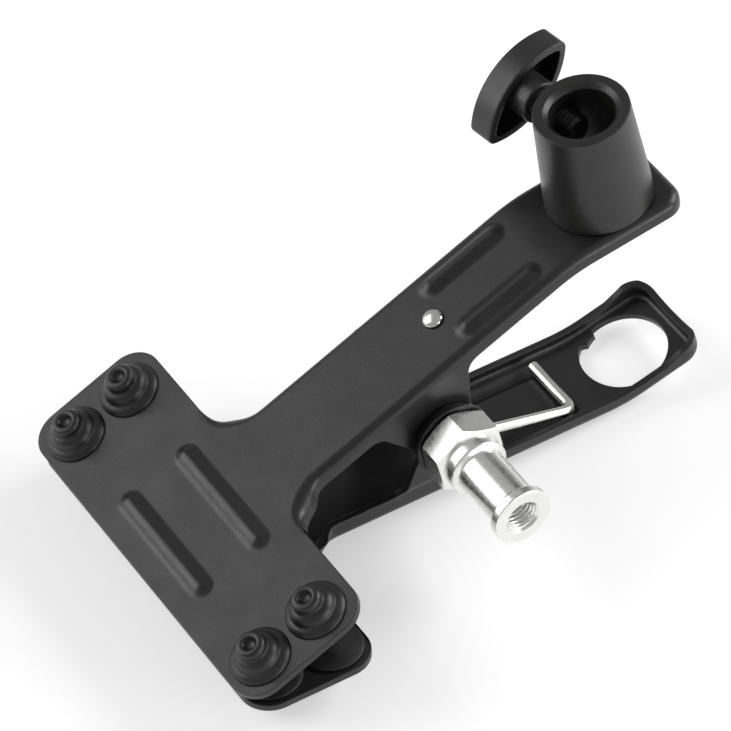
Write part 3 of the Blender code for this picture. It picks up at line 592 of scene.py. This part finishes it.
def round_edges(mesh, chosen, radius, steps):
    """Rounds the edges that the function chosen(first end, second end) picks."""
    work = bmesh.new()
    work.from_mesh(mesh)
    bmesh.ops.dissolve_limit(work, angle_limit=0.0005, verts=work.verts, edges=work.edges)
    edges = []
    for edge in work.edges:
        sharp = len(edge.link_faces) == 2 and edge.calc_face_angle(0) > 0.5
        if sharp and chosen(edge.verts[0].co, edge.verts[1].co):
            edges.append(edge)
    bmesh.ops.bevel(work, geom=edges, offset=radius, segments=steps, profile=0.5,
                    affect="EDGES", clamp_overlap=False)
    work.to_mesh(mesh)
    work.free()
    return mesh


def slice_at(mesh, places, axis):
    """Adds edges where the mesh crosses the planes at the places along an axis."""
    work = bmesh.new()
    work.from_mesh(mesh)
    normal = Vector(axis)
    for place in places:
        everything = work.verts[:] + work.edges[:] + work.faces[:]
        bmesh.ops.bisect_plane(work, geom=everything, dist=0.0000005,
                               plane_co=normal * place, plane_no=normal)
    work.to_mesh(mesh)
    work.free()
    return mesh


def piece(name, mesh, material, body, place, *nodes, sharp=35):
    """One shown piece, set in place; it rides on a body and stands for its nodes."""
    mesh.transform(place)
    mesh.shade_smooth()
    mesh.set_sharp_from_angle(angle=math.radians(sharp))
    mesh.materials.clear()
    mesh.materials.append(material)
    item = bpy.data.objects.new(name, mesh)
    bpy.context.scene.collection.objects.link(item)
    even = item.modifiers.new("normals", "WEIGHTED_NORMAL")
    even.keep_sharp = True
    even.mode = "FACE_AREA"
    if body:
        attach(item, body)
    if nodes:
        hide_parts(*nodes)
    return item


# Levers

def half_to_whole(points):
    """Closes an outline of the +Y half by its mirror image."""
    return points + [(x, -y) for x, y in reversed(points)]


def lever_plan(lever):
    """The lever seen from above, before its handle is bent."""
    corner = JAW_CORNER
    fillet = NECK_FILLET
    wide = HALF_JAW - corner
    points = arc(corner - lever.front, wide, corner, 180, 90, 14)
    points += arc(-lever.rear - corner, wide, corner, 90, 0, 14)
    points += arc(fillet - lever.rear, HALF_HANDLE + fillet, fillet, 180, 270, 18)
    points += arc(lever.reach - END_CORNER, HALF_HANDLE - END_CORNER, END_CORNER, 90, 0, 12)
    return half_to_whole(points)


def cavity_plan(lever):
    """The space under the plate: all of the jaw, and what lies inside the flanges."""
    fillet = NECK_FILLET
    corner = END_CORNER - SHEET
    inner = HALF_HANDLE - SHEET
    first = FLANGE_START - lever.rear
    turn = math.degrees(math.acos((fillet - FLANGE_START) / (fillet + SHEET)))
    points = [(-lever.front - BEYOND, HALF_JAW + BEYOND), (first, HALF_JAW + BEYOND)]
    points += arc(fillet - lever.rear, HALF_HANDLE + fillet, fillet + SHEET, 180 + turn, 270, 16)
    points += arc(lever.reach - SHEET - corner, inner - corner, corner, 90, 0, 10)
    return half_to_whole(points)


def lever_side(lever):
    """The lever seen from the side, before its handle is bent: plate, flanges and an ear."""
    neck = lever.height - lever.neck_flange
    handle = lever.height - lever.flange
    slope_x = math.cos(EAR_SLOPE)
    slope_z = math.sin(EAR_SLOPE)
    root_neck = (EAR_RADIUS + neck * slope_z) / slope_x
    root_handle = (EAR_RADIUS + handle * slope_z) / slope_x
    turn = math.degrees(EAR_SLOPE)
    step = EAR_FILLET
    top = lever.height + BEYOND
    first = lever.height - SHEET - FLANGE_FIRST
    points = [(-lever.front - BEYOND, top), (-lever.front - BEYOND, first), (-lever.rear, first)]
    points += soften([(-lever.rear, first), (FLANGE_RUNOUT - lever.rear, neck),
                      (-root_neck - step, neck)], 0.002, 6)[1:-1]
    points += soften([(-root_neck - step * 2, neck), (-root_neck, neck),
                      (-root_neck + step * 2 * slope_z, neck - step * 2)], step, 8)[1:-1]
    points += arc(0, 0, EAR_RADIUS, 180 - turn, 360 + turn, 40)
    points += soften([(root_handle - step * 2 * slope_z, handle - step * 2), (root_handle, handle),
                      (root_handle + step * 2, handle)], step, 8)[1:-1]
    points += [(lever.reach - 2 * END_CORNER, handle),
               (lever.reach - END_CORNER, lever.height - lever.end_flange)]
    points += [(lever.reach + BEYOND, lever.height - lever.end_flange), (lever.reach + BEYOND, top)]
    return points


def end_scoop(lever):
    """A cutter that lowers the end wall's edge towards its middle."""
    low = lever.height - lever.end_flange
    wide = HALF_HANDLE - SHEET
    points = [(-wide, low - BEYOND), (wide, low - BEYOND)]
    for index in range(25):
        share = 1 - index / 12
        points.append((wide * share, low + END_SCOOP * (1 - share * share)))
    mesh = prism(points, lever.reach - 3 * SHEET, lever.reach + BEYOND)
    mesh.transform(Matrix(((0, 0, 1, 0), (1, 0, 0, 0), (0, 1, 0, 0), (0, 0, 0, 1))))
    return mesh


def stadium(middle_x, middle_y, length, width, along_y):
    """A long outline with round ends."""
    half = (length - width) / 2
    points = arc(half, 0, width / 2, -90, 90, 16) + arc(-half, 0, width / 2, 90, 270, 16)
    if along_y:
        points = [(-y, x) for x, y in points]
    return [(x + middle_x, y + middle_y) for x, y in points]


def rib_tools(places, height):
    """For each rib, the raised shape outside and the groove behind it."""
    raised = []
    grooves = []
    for middle_x, middle_y, length, width, along_y in places:
        for made, base, first, scale in ((raised, height, 0.0, 1.0),
                                         (grooves, height - SHEET, SHEET / 2, 0.7)):
            rings = []
            for inset, share in RIB_SHAPE:
                inset = first + inset * scale
                outline = stadium(middle_x, middle_y, length - 2 * inset, width - 2 * inset,
                                  along_y)
                rings.append([(x, y, base + RIB_HEIGHT * share) for x, y in outline])
            made.append(stack(rings))
    return raised, grooves


def jaw_ribs():
    return [(-PAD_MIDDLE + side * JAW_RIB_PITCH / 2, 0, JAW_RIB_LENGTH, RIB_WIDTH, True)
            for side in (-1, 1)]


def handle_ribs():
    middle = HANDLE_RIB_START + HANDLE_RIB_LENGTH / 2
    return [(middle, side * HANDLE_RIB_PITCH / 2, HANDLE_RIB_LENGTH, RIB_WIDTH, False)
            for side in (-1, 1)]


def pad_places():
    """Each pad's name ending and its place on the jaw."""
    return [(end + "_" + side, -PAD_MIDDLE + step_x * PAD_PITCH_ALONG / 2,
             step_y * (HALF_JAW - PAD_INSET))
            for end, step_x in (("front", -1), ("rear", 1))
            for side, step_y in (("far", 1), ("near", -1))]


def plate_hole(x, y, radius, height, steps):
    mesh = rod(radius, height - SHEET - BEYOND, height + BEYOND, steps)
    mesh.transform(Matrix.Translation((x, y, 0)))
    return mesh


def bend_handle(mesh, lever):
    """Bends the handle's end inwards round an axis below the plate."""
    start = lever.bend_start
    arc_length = BEND_RADIUS * BEND_ANGLE
    places = [start + arc_length * index / BEND_STEPS for index in range(BEND_STEPS + 1)]
    slice_at(mesh, places, (1, 0, 0))
    for vertex in mesh.vertices:
        vertex.co = bent_place(vertex.co, lever)
    return mesh


def bent_place(place, lever):
    """Where a point of the straight handle ends up once the handle is bent."""
    start = lever.bend_start
    beyond = place.x - start
    if beyond <= 0:
        return place.copy()
    turn = min(beyond / BEND_RADIUS, BEND_ANGLE)
    straight = beyond - BEND_RADIUS * turn
    reach = BEND_RADIUS + place.z - lever.height
    x = start + reach * math.sin(turn) + straight * math.cos(turn)
    z = lever.height - BEND_RADIUS + reach * math.cos(turn) - straight * math.sin(turn)
    return Vector((x, place.y, z))


def step_ears(mesh):
    """Steps the lower lever's ears outwards, so that they pass outside the upper ones."""
    ramp = JOGGLE_ROOT - JOGGLE_TOP
    slice_at(mesh, [JOGGLE_TOP + ramp * index / 12 for index in range(13)], (0, 0, 1))
    for vertex in mesh.vertices:
        if vertex.co.z < JOGGLE_ROOT and abs(vertex.co.y) > HALF_HANDLE - 2 * SHEET:
            share = min(1.0, (JOGGLE_ROOT - vertex.co.z) / ramp)
            smooth = share * share * (3 - 2 * share)
            vertex.co.y += math.copysign(LOWER_EAR_STEP * smooth, vertex.co.y)
    return mesh


def lever_shell(lever):
    """The bare pressing: plate, folded flanges and ears, with a straight handle."""
    def folded(level):
        return lambda a, b: (min(a.z, b.z) > level - 0.0001
                             and min(a.x, b.x) > -lever.rear - 0.0001
                             and max(abs(a.y), abs(b.y)) < HALF_HANDLE + NECK_FILLET)

    shell = prism(lever_plan(lever), -EAR_RADIUS - BEYOND, lever.height)
    round_edges(shell, folded(lever.height), FOLD_RADIUS, 8)
    cavity = prism(cavity_plan(lever), -EAR_RADIUS - 2 * BEYOND, lever.height - SHEET)
    round_edges(cavity, folded(lever.height - SHEET), INNER_FOLD, 5)
    shell = combine(shell, [cavity], "DIFFERENCE")
    side = cross_prism(lever_side(lever), HALF_JAW + BEYOND)
    shell = merge_flat(combine(shell, [side], "INTERSECT"))
    shell = combine(shell, [end_scoop(lever)], "DIFFERENCE")
    return flare_fillet(fade_fold(shell, lever), lever)


def flare_fillet(mesh, lever):
    """Leans the flange outwards where it turns from the neck into the jaw."""
    for vertex in mesh.vertices:
        x, y, z = vertex.co
        depth = lever.height - z
        back_x = NECK_FILLET - lever.rear - x
        back_y = HALF_HANDLE + NECK_FILLET - abs(y)
        near = math.hypot(back_x, back_y) < NECK_FILLET + 2 * SHEET
        if near and back_x > 0 and back_y > -0.0001 and 0 < depth < lever.neck_flange + SEAT:
            turn = math.degrees(math.atan2(back_y, back_x))
            into = min(turn - LEAN_FIRST, LEAN_LAST - turn) / LEAN_RAMP
            share = max(0.0, min(1.0, into))
            lean = FLANGE_LEAN * depth * share * share * (3 - 2 * share)
            away = Vector((back_x, math.copysign(back_y, y))).normalized() * lean
            vertex.co.x += away.x
            vertex.co.y += away.y
    return mesh


def fade_fold(mesh, lever):
    """Lets the rounding of the fold run out where the flange ends at the jaw."""
    for vertex in mesh.vertices:
        x, y, z = vertex.co
        back_x = NECK_FILLET - lever.rear - x
        back_y = HALF_HANDLE + NECK_FILLET - abs(y)
        inwards = math.hypot(back_x, back_y) - NECK_FILLET
        depth = lever.height - z
        level = math.hypot(FOLD_RADIUS - inwards, FOLD_RADIUS - depth)
        if (back_x > 0 and back_y > -0.0001 and abs(level - FOLD_RADIUS) < 0.0001
                and -0.0001 < inwards < FOLD_RADIUS and -0.0001 < depth < FOLD_RADIUS):
            share = min(1.0, math.degrees(math.atan2(back_y, back_x)) / FOLD_FADE)
            share = FOLD_LEAST + (1 - FOLD_LEAST) * share * share * (3 - 2 * share)
            shift = inwards * (1 - share) / (NECK_FILLET + inwards)
            vertex.co.x += back_x * shift
            vertex.co.y += math.copysign(back_y, y) * shift
            vertex.co.z += depth * (1 - share)
    return mesh


def common_holes(height):
    """Holes that both levers have: four for pads and one through both ears."""
    holes = [plate_hole(x, y, PAD_NECK_RADIUS + SEAT, height, PAD_STEPS)
             for _, x, y in pad_places()]
    pivot = rod(BOLT_RADIUS + SEAT, -HALF_HANDLE - BEYOND, HALF_HANDLE + BEYOND, 48)
    pivot.transform(NEAR)
    return holes + [pivot]


def hand_hole():
    """The big round hole of the lower handle, with the small tab that stands into it."""
    outline = []
    steps = 144
    half_tab = TAB_WIDTH / 2 / HAND_HOLE_RADIUS
    for index in range(steps):
        angle = 2 * math.pi * index / steps
        turn = (angle - TAB_ANGLE + math.pi) % (2 * math.pi) - math.pi
        rise = max(0.0, min(1.0, (half_tab * 1.15 - abs(turn)) / (half_tab * 0.3)))
        radius = HAND_HOLE_RADIUS - TAB_DEPTH * rise * rise * (3 - 2 * rise)
        outline.append((HAND_HOLE_AT + radius * math.cos(angle), radius * math.sin(angle)))
    return prism(outline, LOWER.height - SHEET - BEYOND, LOWER.height + BEYOND)


def make_levers():
    coat = powder_coat("lever_coat", (0.0100, 0.0100, 0.0100), (0.0150, 0.0150, 0.0148),
                       (0.055, 0.055, 0.053))
    raised, grooves = rib_tools(jaw_ribs() + handle_ribs(), UPPER.height)
    shell = combine(lever_shell(UPPER), raised, "UNION")
    holes = common_holes(UPPER.height)
    holes.append(plate_hole(RIVET_AT, 0, RIVET_RADIUS + SEAT, UPPER.height, 32))
    holes.append(plate_hole(SOCKET_AT, 0, SOCKET_NECK_RADIUS + SEAT, UPPER.height, SOCKET_STEPS))
    shell = weld(bend_handle(combine(shell, grooves + holes, "DIFFERENCE"), UPPER))
    piece("upper_pressing", shell, coat, "upper_half", AT_UPPER, "upper_lever")

    raised, grooves = rib_tools(jaw_ribs() + handle_ribs(), LOWER.height)
    shell = combine(lever_shell(LOWER), raised, "UNION")
    shell = combine(shell, grooves + common_holes(LOWER.height) + [hand_hole()], "DIFFERENCE")
    step_ears(shell)
    shell = bend_handle(shell, LOWER)
    shell.transform(Matrix.Scale(-1, 4, (0, 0, 1)))
    shell.flip_normals()
    piece("lower_pressing", weld(shell), coat, "lower_half", AT_LOWER, "lower_lever")


# Rubber pads

def pad_profile():
    """Half a pad: stepped nipple outside the plate, neck through it, foot inside."""
    foot = -SHEET - SEAT
    top = PAD_HEIGHT
    outside = [(x / 1000, top - z / 1000) for x, z in PAD_NIPPLE]
    outside += [(x / 1000, z / 1000) for x, z in PAD_TIERS]
    inside = [(PAD_NECK_RADIUS, foot), (PAD_FOOT_RADIUS, foot), (PAD_FOOT_RADIUS, foot - 0.0005),
              (PAD_FOOT_RADIUS * 0.9, foot - 0.00085), (PAD_FOOT_RADIUS * 0.67, foot - 0.00125),
              (PAD_FOOT_RADIUS * 0.4, foot - 0.0017), (0, foot - 0.0020)]
    return outside + inside


def make_pads():
    rubber = moulded_rubber("pad_rubber")
    shape = turned(pad_profile(), PAD_STEPS)
    for half, lever, at, turn in (("upper", UPPER, AT_UPPER, 0.0),
                                  ("lower", LOWER, AT_LOWER, math.pi)):
        height = lever.height * round(math.cos(turn))
        for ending, x, y in pad_places():
            place = at @ Matrix.Translation((x, y, height)) @ Matrix.Rotation(turn, 4, "X")
            piece(half + "_cushion_" + ending, shape.copy(), rubber, half + "_half", place,
                  half + "_pad_" + ending, sharp=50)


# Pivot and stud

def hexagon(width, low, high):
    """A hexagonal prism whose corners are chamfered at both ends."""
    corner = width / 2 / math.cos(math.pi / 6)
    shape = prism(arc(0, 0, corner, 0, 300, 5), low - BEYOND, high + BEYOND)
    drop = (corner - width / 2) * 0.7
    trim = turned([(0, low), (width / 2 * 0.97, low), (corner * 1.02, low + drop),
                   (corner * 1.02, high - drop), (width / 2 * 0.97, high), (0, high)], 72)
    return combine(shape, [trim], "INTERSECT")


def make_pivot():
    zinc = plated("pivot_zinc")
    washer_foot = OUTER_EAR_FACE + SEAT
    for name, radius, thickness, edge, finish, side in (
            # The near washer is black, and its thin rim just outside the stud's hexagon stands in
            # for the shadow there: painted shadow.
            ("near", WASHER_RADIUS, NEAR_WASHER, 0.0004, black_steel_and_painted_shade("washer_black_painted_shade"), NEAR),
            ("far", WASHER_RADIUS * 0.8, FAR_WASHER, 0.0003, zinc, FAR)):
        profile = soften([(BOLT_RADIUS + SEAT, washer_foot), (radius, washer_foot),
                          (radius, washer_foot + thickness),
                          (BOLT_RADIUS + SEAT, washer_foot + thickness)], edge, 4, True)
        piece(name + "_washer", turned(profile, 72, True), finish, "lower_half", AT_LOWER @ side,
              "washer_" + name)
    stud_foot = washer_foot + NEAR_WASHER + SEAT
    head_foot = washer_foot + FAR_WASHER + SEAT
    bolt = rod(BOLT_RADIUS, -stud_foot - BOLT_ENGAGEMENT, head_foot + BOLT_HEAD / 2, 48)
    bolt = combine(bolt, [hexagon(BOLT_HEAD_WIDTH, head_foot, head_foot + BOLT_HEAD)], "UNION")
    piece("through_bolt", bolt, zinc, "lower_half", AT_LOWER @ FAR, "pivot_bolt")
    chrome = plated("stud_chrome", (0.90, 0.90, 0.89), (0.82, 0.82, 0.80), 0.24, 0.32)
    piece("end_stud", stud_mesh(stud_foot), chrome, "lower_half", AT_LOWER @ NEAR, "stud")


def stud_mesh(foot):
    """Hexagon, collar, waist and end flange in one turned bar, drilled from both ends."""
    collar = foot + HEX_LENGTH
    waist = collar + STUD_COLLAR
    flange = waist + STUD_WAIST
    end = flange + STUD_FLANGE
    core = STUD_RADIUS * 0.9
    profile = [(STUD_RADIUS, end), (STUD_RADIUS, flange),
               (STUD_WAIST_RADIUS, flange - STUD_CONE), (STUD_WAIST_RADIUS, waist + STUD_CONE),
               (STUD_RADIUS, waist), (STUD_RADIUS, collar - SEAT)]
    body = turned([(0, end)] + soften([(STUD_RADIUS * 0.5, end)] + profile
                                      + [(core, collar - SEAT)], 0.0005, 6)
                  + [(core, foot + SEAT), (0, foot + SEAT)], 72)
    nut = hexagon(HEX_WIDTH, foot, collar)
    nut.transform(Matrix.Rotation(HEX_TURN, 4, "Z"))
    body = combine(body, [nut], "UNION")
    hole = threaded(STUD_THREAD_RADIUS, STUD_PITCH, end - STUD_THREAD_DEPTH, end - 0.0006, 48,
                    0.45, STUD_THREAD_RADIUS)
    mouth = turned([(0, end - 0.0008), (STUD_THREAD_RADIUS - 0.0002, end - 0.0008),
                    (STUD_THREAD_RADIUS + 0.0006, end + 0.0001), (0, end + 0.0001)], 72)
    seat = rod(BOLT_RADIUS + SEAT, foot - BEYOND, foot + BOLT_ENGAGEMENT + SEAT * 4, 48)
    return combine(body, [hole, mouth, seat], "DIFFERENCE")


# Spring

def toe_drop(lever):
    """Pivot to the middle of the wire that lies under a lever's plate."""
    return lever.height - SHEET - SEAT - WIRE_RADIUS


def leg_turn(lever):
    """Where on the coil the leg leaves it."""
    drop = toe_drop(lever)
    return math.atan2(drop, TOE_REACH) + math.acos(COIL_RADIUS / math.hypot(TOE_REACH, drop))


def leg_points(lever):
    """One leg of the spring, from its toe's tip up to the coil, on the +Y side."""
    side = COIL_LENGTH / 2
    leg_start = leg_turn(lever)
    start = Vector((COIL_RADIUS * math.cos(leg_start), side, COIL_RADIUS * math.sin(leg_start)))
    elbow = Vector((TOE_REACH, side, toe_drop(lever)))
    along = (elbow - start).normalized()
    across = Vector((0, -1, 0))
    points = [elbow + across * TOE_LENGTH]
    middle = elbow - along * ELBOW_RADIUS + across * ELBOW_RADIUS
    for index in range(ELBOW_STEPS + 1):
        turn = math.pi / 2 * index / ELBOW_STEPS
        points.append(middle + along * ELBOW_RADIUS * math.cos(turn)
                      - across * ELBOW_RADIUS * math.sin(turn))
    return points + [start]


def make_spring():
    """Two legs that follow their levers, and a coil that winds between them."""
    steel = plated("spring_wire", (0.80, 0.80, 0.78), (0.62, 0.62, 0.60), 0.16, 0.28)
    upper = leg_points(UPPER)
    lower = [Vector((p.x, -p.y, -p.z)) for p in leg_points(LOWER)]
    first = -leg_turn(LOWER)
    last = leg_turn(UPPER) + SPREAD - 2 * math.pi * (WHOLE_TURNS + 1)
    count = round((first - last) / (2 * math.pi) * TURN_POINTS)
    coil = []
    for index in range(count + 1):
        share = index / count
        angle = first + (last - first) * share
        coil.append(Vector((COIL_RADIUS * math.cos(angle), COIL_LENGTH * (share - 0.5),
                            COIL_RADIUS * math.sin(angle))))
    turns = piece("spring_coil", wire(coil, WIRE_RADIUS), steel, None, AT_LOWER, "torsion_spring")
    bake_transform(turns)
    piece("spring_leg_lower", wire(lower, WIRE_RADIUS), steel, "lower_half", AT_LOWER)
    piece("spring_leg_upper", wire(upper, WIRE_RADIUS), steel, "upper_half", AT_UPPER)


def make_rivet():
    under = UPPER.height - SHEET - SEAT - KEEPER_SHEET - SEAT
    top = UPPER.height + SEAT
    head = arc(0, 0, 1, 90, 0, 12)
    profile = [(RIVET_HEAD_RADIUS * x, top + RIVET_HEAD * y) for x, y in head]
    profile[0] = (0, profile[0][1])
    profile += [(RIVET_RADIUS, top), (RIVET_RADIUS, under), (RIVET_HEAD_RADIUS, under),
                (RIVET_HEAD_RADIUS * 0.8, under - RIVET_HEAD * 0.7), (0, under - RIVET_HEAD * 0.7)]
    piece("round_rivet", turned(profile, 48), plated("rivet_zinc"), "upper_half",
          AT_UPPER @ Matrix.Translation((RIVET_AT, 0, 0)), "handle_rivet")


# Socket and thumbscrew

def stand_place():
    foot = bent_place(Vector((SOCKET_AT, 0, UPPER.height)), UPPER)
    return AT_UPPER @ Matrix.Translation(foot) @ Matrix.Rotation(BEND_ANGLE, 4, "Y")


def screw_place():
    return (stand_place() @ Matrix.Translation((0, 0, SCREW_HEIGHT))
            @ Matrix.Rotation(SCREW_HEADING, 4, "Z") @ Matrix.Rotation(math.pi / 2, 4, "Y"))


def make_socket():
    """Tapered body with a through bore; its neck passes the plate."""
    neck_end = -SHEET - 2 * SEAT - RING_NUT - NECK_PROUD
    top = SOCKET_HEIGHT
    outline = [(SOCKET_MOUTH_RADIUS, top), (SOCKET_TOP_RADIUS, top), (SOCKET_BASE_RADIUS, SEAT),
               (SOCKET_NECK_RADIUS, SEAT), (SOCKET_NECK_RADIUS, neck_end),
               (SOCKET_BORE_RADIUS, neck_end), (SOCKET_BORE_RADIUS, top - SOCKET_MOUTH_DEPTH)]
    body = turned(soften(outline, 0.0003, 4, True), SOCKET_STEPS, closed=True)
    hole = rod(SCREW_RADIUS + SEAT, SOCKET_BORE_RADIUS * 0.5, SOCKET_BASE_RADIUS + BEYOND, 48)
    hole.transform(Matrix.Translation((0, 0, SCREW_HEIGHT)) @ Matrix.Rotation(SCREW_HEADING, 4, "Z")
                   @ Matrix.Rotation(math.pi / 2, 4, "Y"))
    body = combine(body, [hole], "DIFFERENCE")
    coat = powder_coat("socket_coat", (0.0110, 0.0110, 0.0105), (0.0165, 0.0165, 0.0155),
                       (0.070, 0.070, 0.067), 1200.0)
    piece("stand_socket", body, coat, "upper_half", stand_place(), "socket")


def lens_outline(length, width, tip, steps):
    """Two equal arcs that meet at rounded tips."""
    half_l = length / 2
    half_w = width / 2
    radius = (half_l ** 2 + half_w ** 2) / (2 * half_w)
    inner = radius - tip
    tip_x = math.sqrt(inner ** 2 - (radius - half_w) ** 2)
    spread = math.degrees(math.asin(tip_x / inner))
    points = arc(0, half_w - radius, radius, 90 + spread, 90 - spread, steps)
    points += arc(tip_x, 0, tip, 90 - spread, spread - 90, steps // 3)[1:-1]
    points += arc(0, radius - half_w, radius, spread - 90, -90 - spread, steps)
    points += arc(-tip_x, 0, tip, 270 - spread, 90 + spread, steps // 3)[1:-1]
    return points


def make_clamp_screw():
    end = KNOB_BACK + KNOB_DEPTH - KNOB_FACE - SEAT
    # The screw is black steel, and its black also stands in for the shade on its tip inside the
    # socket's bore: partly painted shade.
    piece("thumb_screw", threaded(SCREW_RADIUS, SCREW_PITCH, SCREW_TIP, end),
          black_steel_and_painted_shade("screw_black_and_painted_shade"), "screw", screw_place(), "clamp_screw")


def make_knob():
    """A lens-shaped cap, open towards the socket, with a boss round the screw."""
    face = KNOB_BACK + KNOB_DEPTH
    tip = KNOB_TIP_ROUND
    levels = soften([(KNOB_RIM, KNOB_BACK), (0, KNOB_BACK + KNOB_RIM), (0, face), (0.0012, face)],
                    KNOB_ROUND, 6)
    rings = []
    for inset, height in levels:
        outline = lens_outline(KNOB_LENGTH - 2 * inset * 1.3, KNOB_WIDTH - 2 * inset,
                               tip - inset * 0.5, 30)
        rings.append([(x, y, height) for x, y in outline])
    body = stack(rings)
    wall = 2 * KNOB_WALL
    hollow = prism(lens_outline(KNOB_LENGTH - wall * 1.3, KNOB_WIDTH - wall, tip * 0.6, 30),
                   KNOB_BACK - BEYOND, face - KNOB_FACE)
    boss = turned([(0, face - KNOB_FACE / 2), (KNOB_BOSS_RADIUS, face - KNOB_FACE / 2)]
                  + soften([(KNOB_BOSS_RADIUS, KNOB_BACK), (KNOB_BOSS_RADIUS, KNOB_BOSS_BACK),
                            (KNOB_BOSS_RADIUS * 0.5, KNOB_BOSS_BACK)], 0.0006, 6)
                  + [(0, KNOB_BOSS_BACK)], 64)
    bore = rod(SCREW_RADIUS + SEAT, KNOB_BOSS_BACK - BEYOND, face - KNOB_FACE, 48)
    body = combine(body, [hollow], "DIFFERENCE")
    body = combine(body, [boss], "UNION")
    body = combine(body, [bore], "DIFFERENCE")
    body.transform(Matrix.Rotation(KNOB_TILT, 4, "Z"))
    coat = powder_coat("knob_coat", (0.018, 0.018, 0.018), (0.025, 0.025, 0.0245),
                       (0.070, 0.070, 0.068), 1400.0)
    piece("thumb_knob", body, coat, "knob_turn", screw_place(), "knob")


def dress_kept_nodes():
    """Finishes for the pieces whose frame shape is already right."""
    dark = black_steel_and_painted_shade("ring_nut_black")
    zinc = plated("hidden_zinc", low=0.2, high=0.32)
    for name, finish in (("socket_nut", dark), ("pivot_sleeve", zinc), ("spring_keeper", zinc)):
        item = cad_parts[name]
        if not item.material_slots:
            item.data.materials.append(finish)
        for place in item.material_slots:
            place.material = finish


# Studio

def paper():
    """Matt white studio paper, lifted a little where it is seen or mirrored."""
    made = Nodes("floor_paper")
    path = made.tree.nodes.new("ShaderNodeLightPath")
    seen = made.math("ADD", path.outputs["Is Camera Ray"], path.outputs["Is Glossy Ray"])
    seen = made.math("ADD", seen, path.outputs["Is Transmission Ray"])
    made.shader.inputs["Base Color"].default_value = (*PAPER_COLOUR, 1.0)
    made.shader.inputs["Roughness"].default_value = 0.9
    made.shader.inputs["Specular IOR Level"].default_value = 0.0
    made.shader.inputs["Emission Color"].default_value = (1.0, 1.0, 1.0, 1.0)
    made.link(made.math("MULTIPLY", seen, PAPER_LIFT), made.shader.inputs["Emission Strength"])
    return made.material


def softbox(name, place, width, height, power):
    """A rectangular lamp that faces the object."""
    light = bpy.data.lights.new(name, "AREA")
    light.shape = "RECTANGLE"
    light.size = width
    light.size_y = height
    light.energy = power
    item = bpy.data.objects.new(name, light)
    item.location = place
    item.rotation_euler = (Vector(place) - LAMP_AIM).to_track_quat("Z", "Y").to_euler()
    bpy.context.scene.collection.objects.link(item)


def make_studio():
    mesh = bpy.data.meshes.new("floor")
    corners = [(x * FLOOR_HALF, y * FLOOR_HALF, FLOOR_LEVEL)
               for x, y in ((-1, -1), (1, -1), (1, 1), (-1, 1))]
    mesh.from_pydata(corners, [], [(0, 1, 2, 3)])
    mesh.materials.append(paper())
    floor = bpy.data.objects.new("floor", mesh)
    bpy.context.scene.collection.objects.link(floor)

    world = bpy.data.worlds.new("studio")
    world.use_nodes = True
    bpy.context.scene.world = world
    tree = world.node_tree
    tree.nodes["Background"].inputs["Color"].default_value = (1.0, 1.0, 1.0, 1.0)
    path = tree.nodes.new("ShaderNodeLightPath")
    strength = tree.nodes.new("ShaderNodeMath")
    strength.operation = "MULTIPLY_ADD"
    strength.inputs[1].default_value = WORLD_MIRRORED
    strength.inputs[2].default_value = WORLD_LIGHT
    tree.links.new(path.outputs["Is Glossy Ray"], strength.inputs[0])
    tree.links.new(strength.outputs["Value"], tree.nodes["Background"].inputs["Strength"])

    for lamp in LAMPS:
        softbox(*lamp)


def make_camera():
    camera = bpy.data.cameras.new("camera")
    camera.sensor_width = SENSOR_WIDTH
    camera.lens = SENSOR_WIDTH * FOCAL_LENGTH / PICTURE_WIDTH
    camera.clip_end = 20.0
    item = bpy.data.objects.new("camera", camera)
    back = VIEW_TURN.transposed()
    place = AT_UPPER @ (VIEW_AIM - back @ VIEW_SHIFT)
    turn = AT_UPPER.to_3x3() @ back @ Matrix(((1, 0, 0), (0, -1, 0), (0, 0, -1)))
    item.matrix_world = Matrix.Translation(place) @ turn.to_4x4()
    bpy.context.scene.collection.objects.link(item)
    bpy.context.scene.camera = item


make_levers()
make_pads()
make_pivot()
make_spring()
make_rivet()
make_socket()
make_clamp_screw()
make_knob()
dress_kept_nodes()
make_studio()
make_camera()
bpy.context.scene.view_settings.view_transform = "Standard"
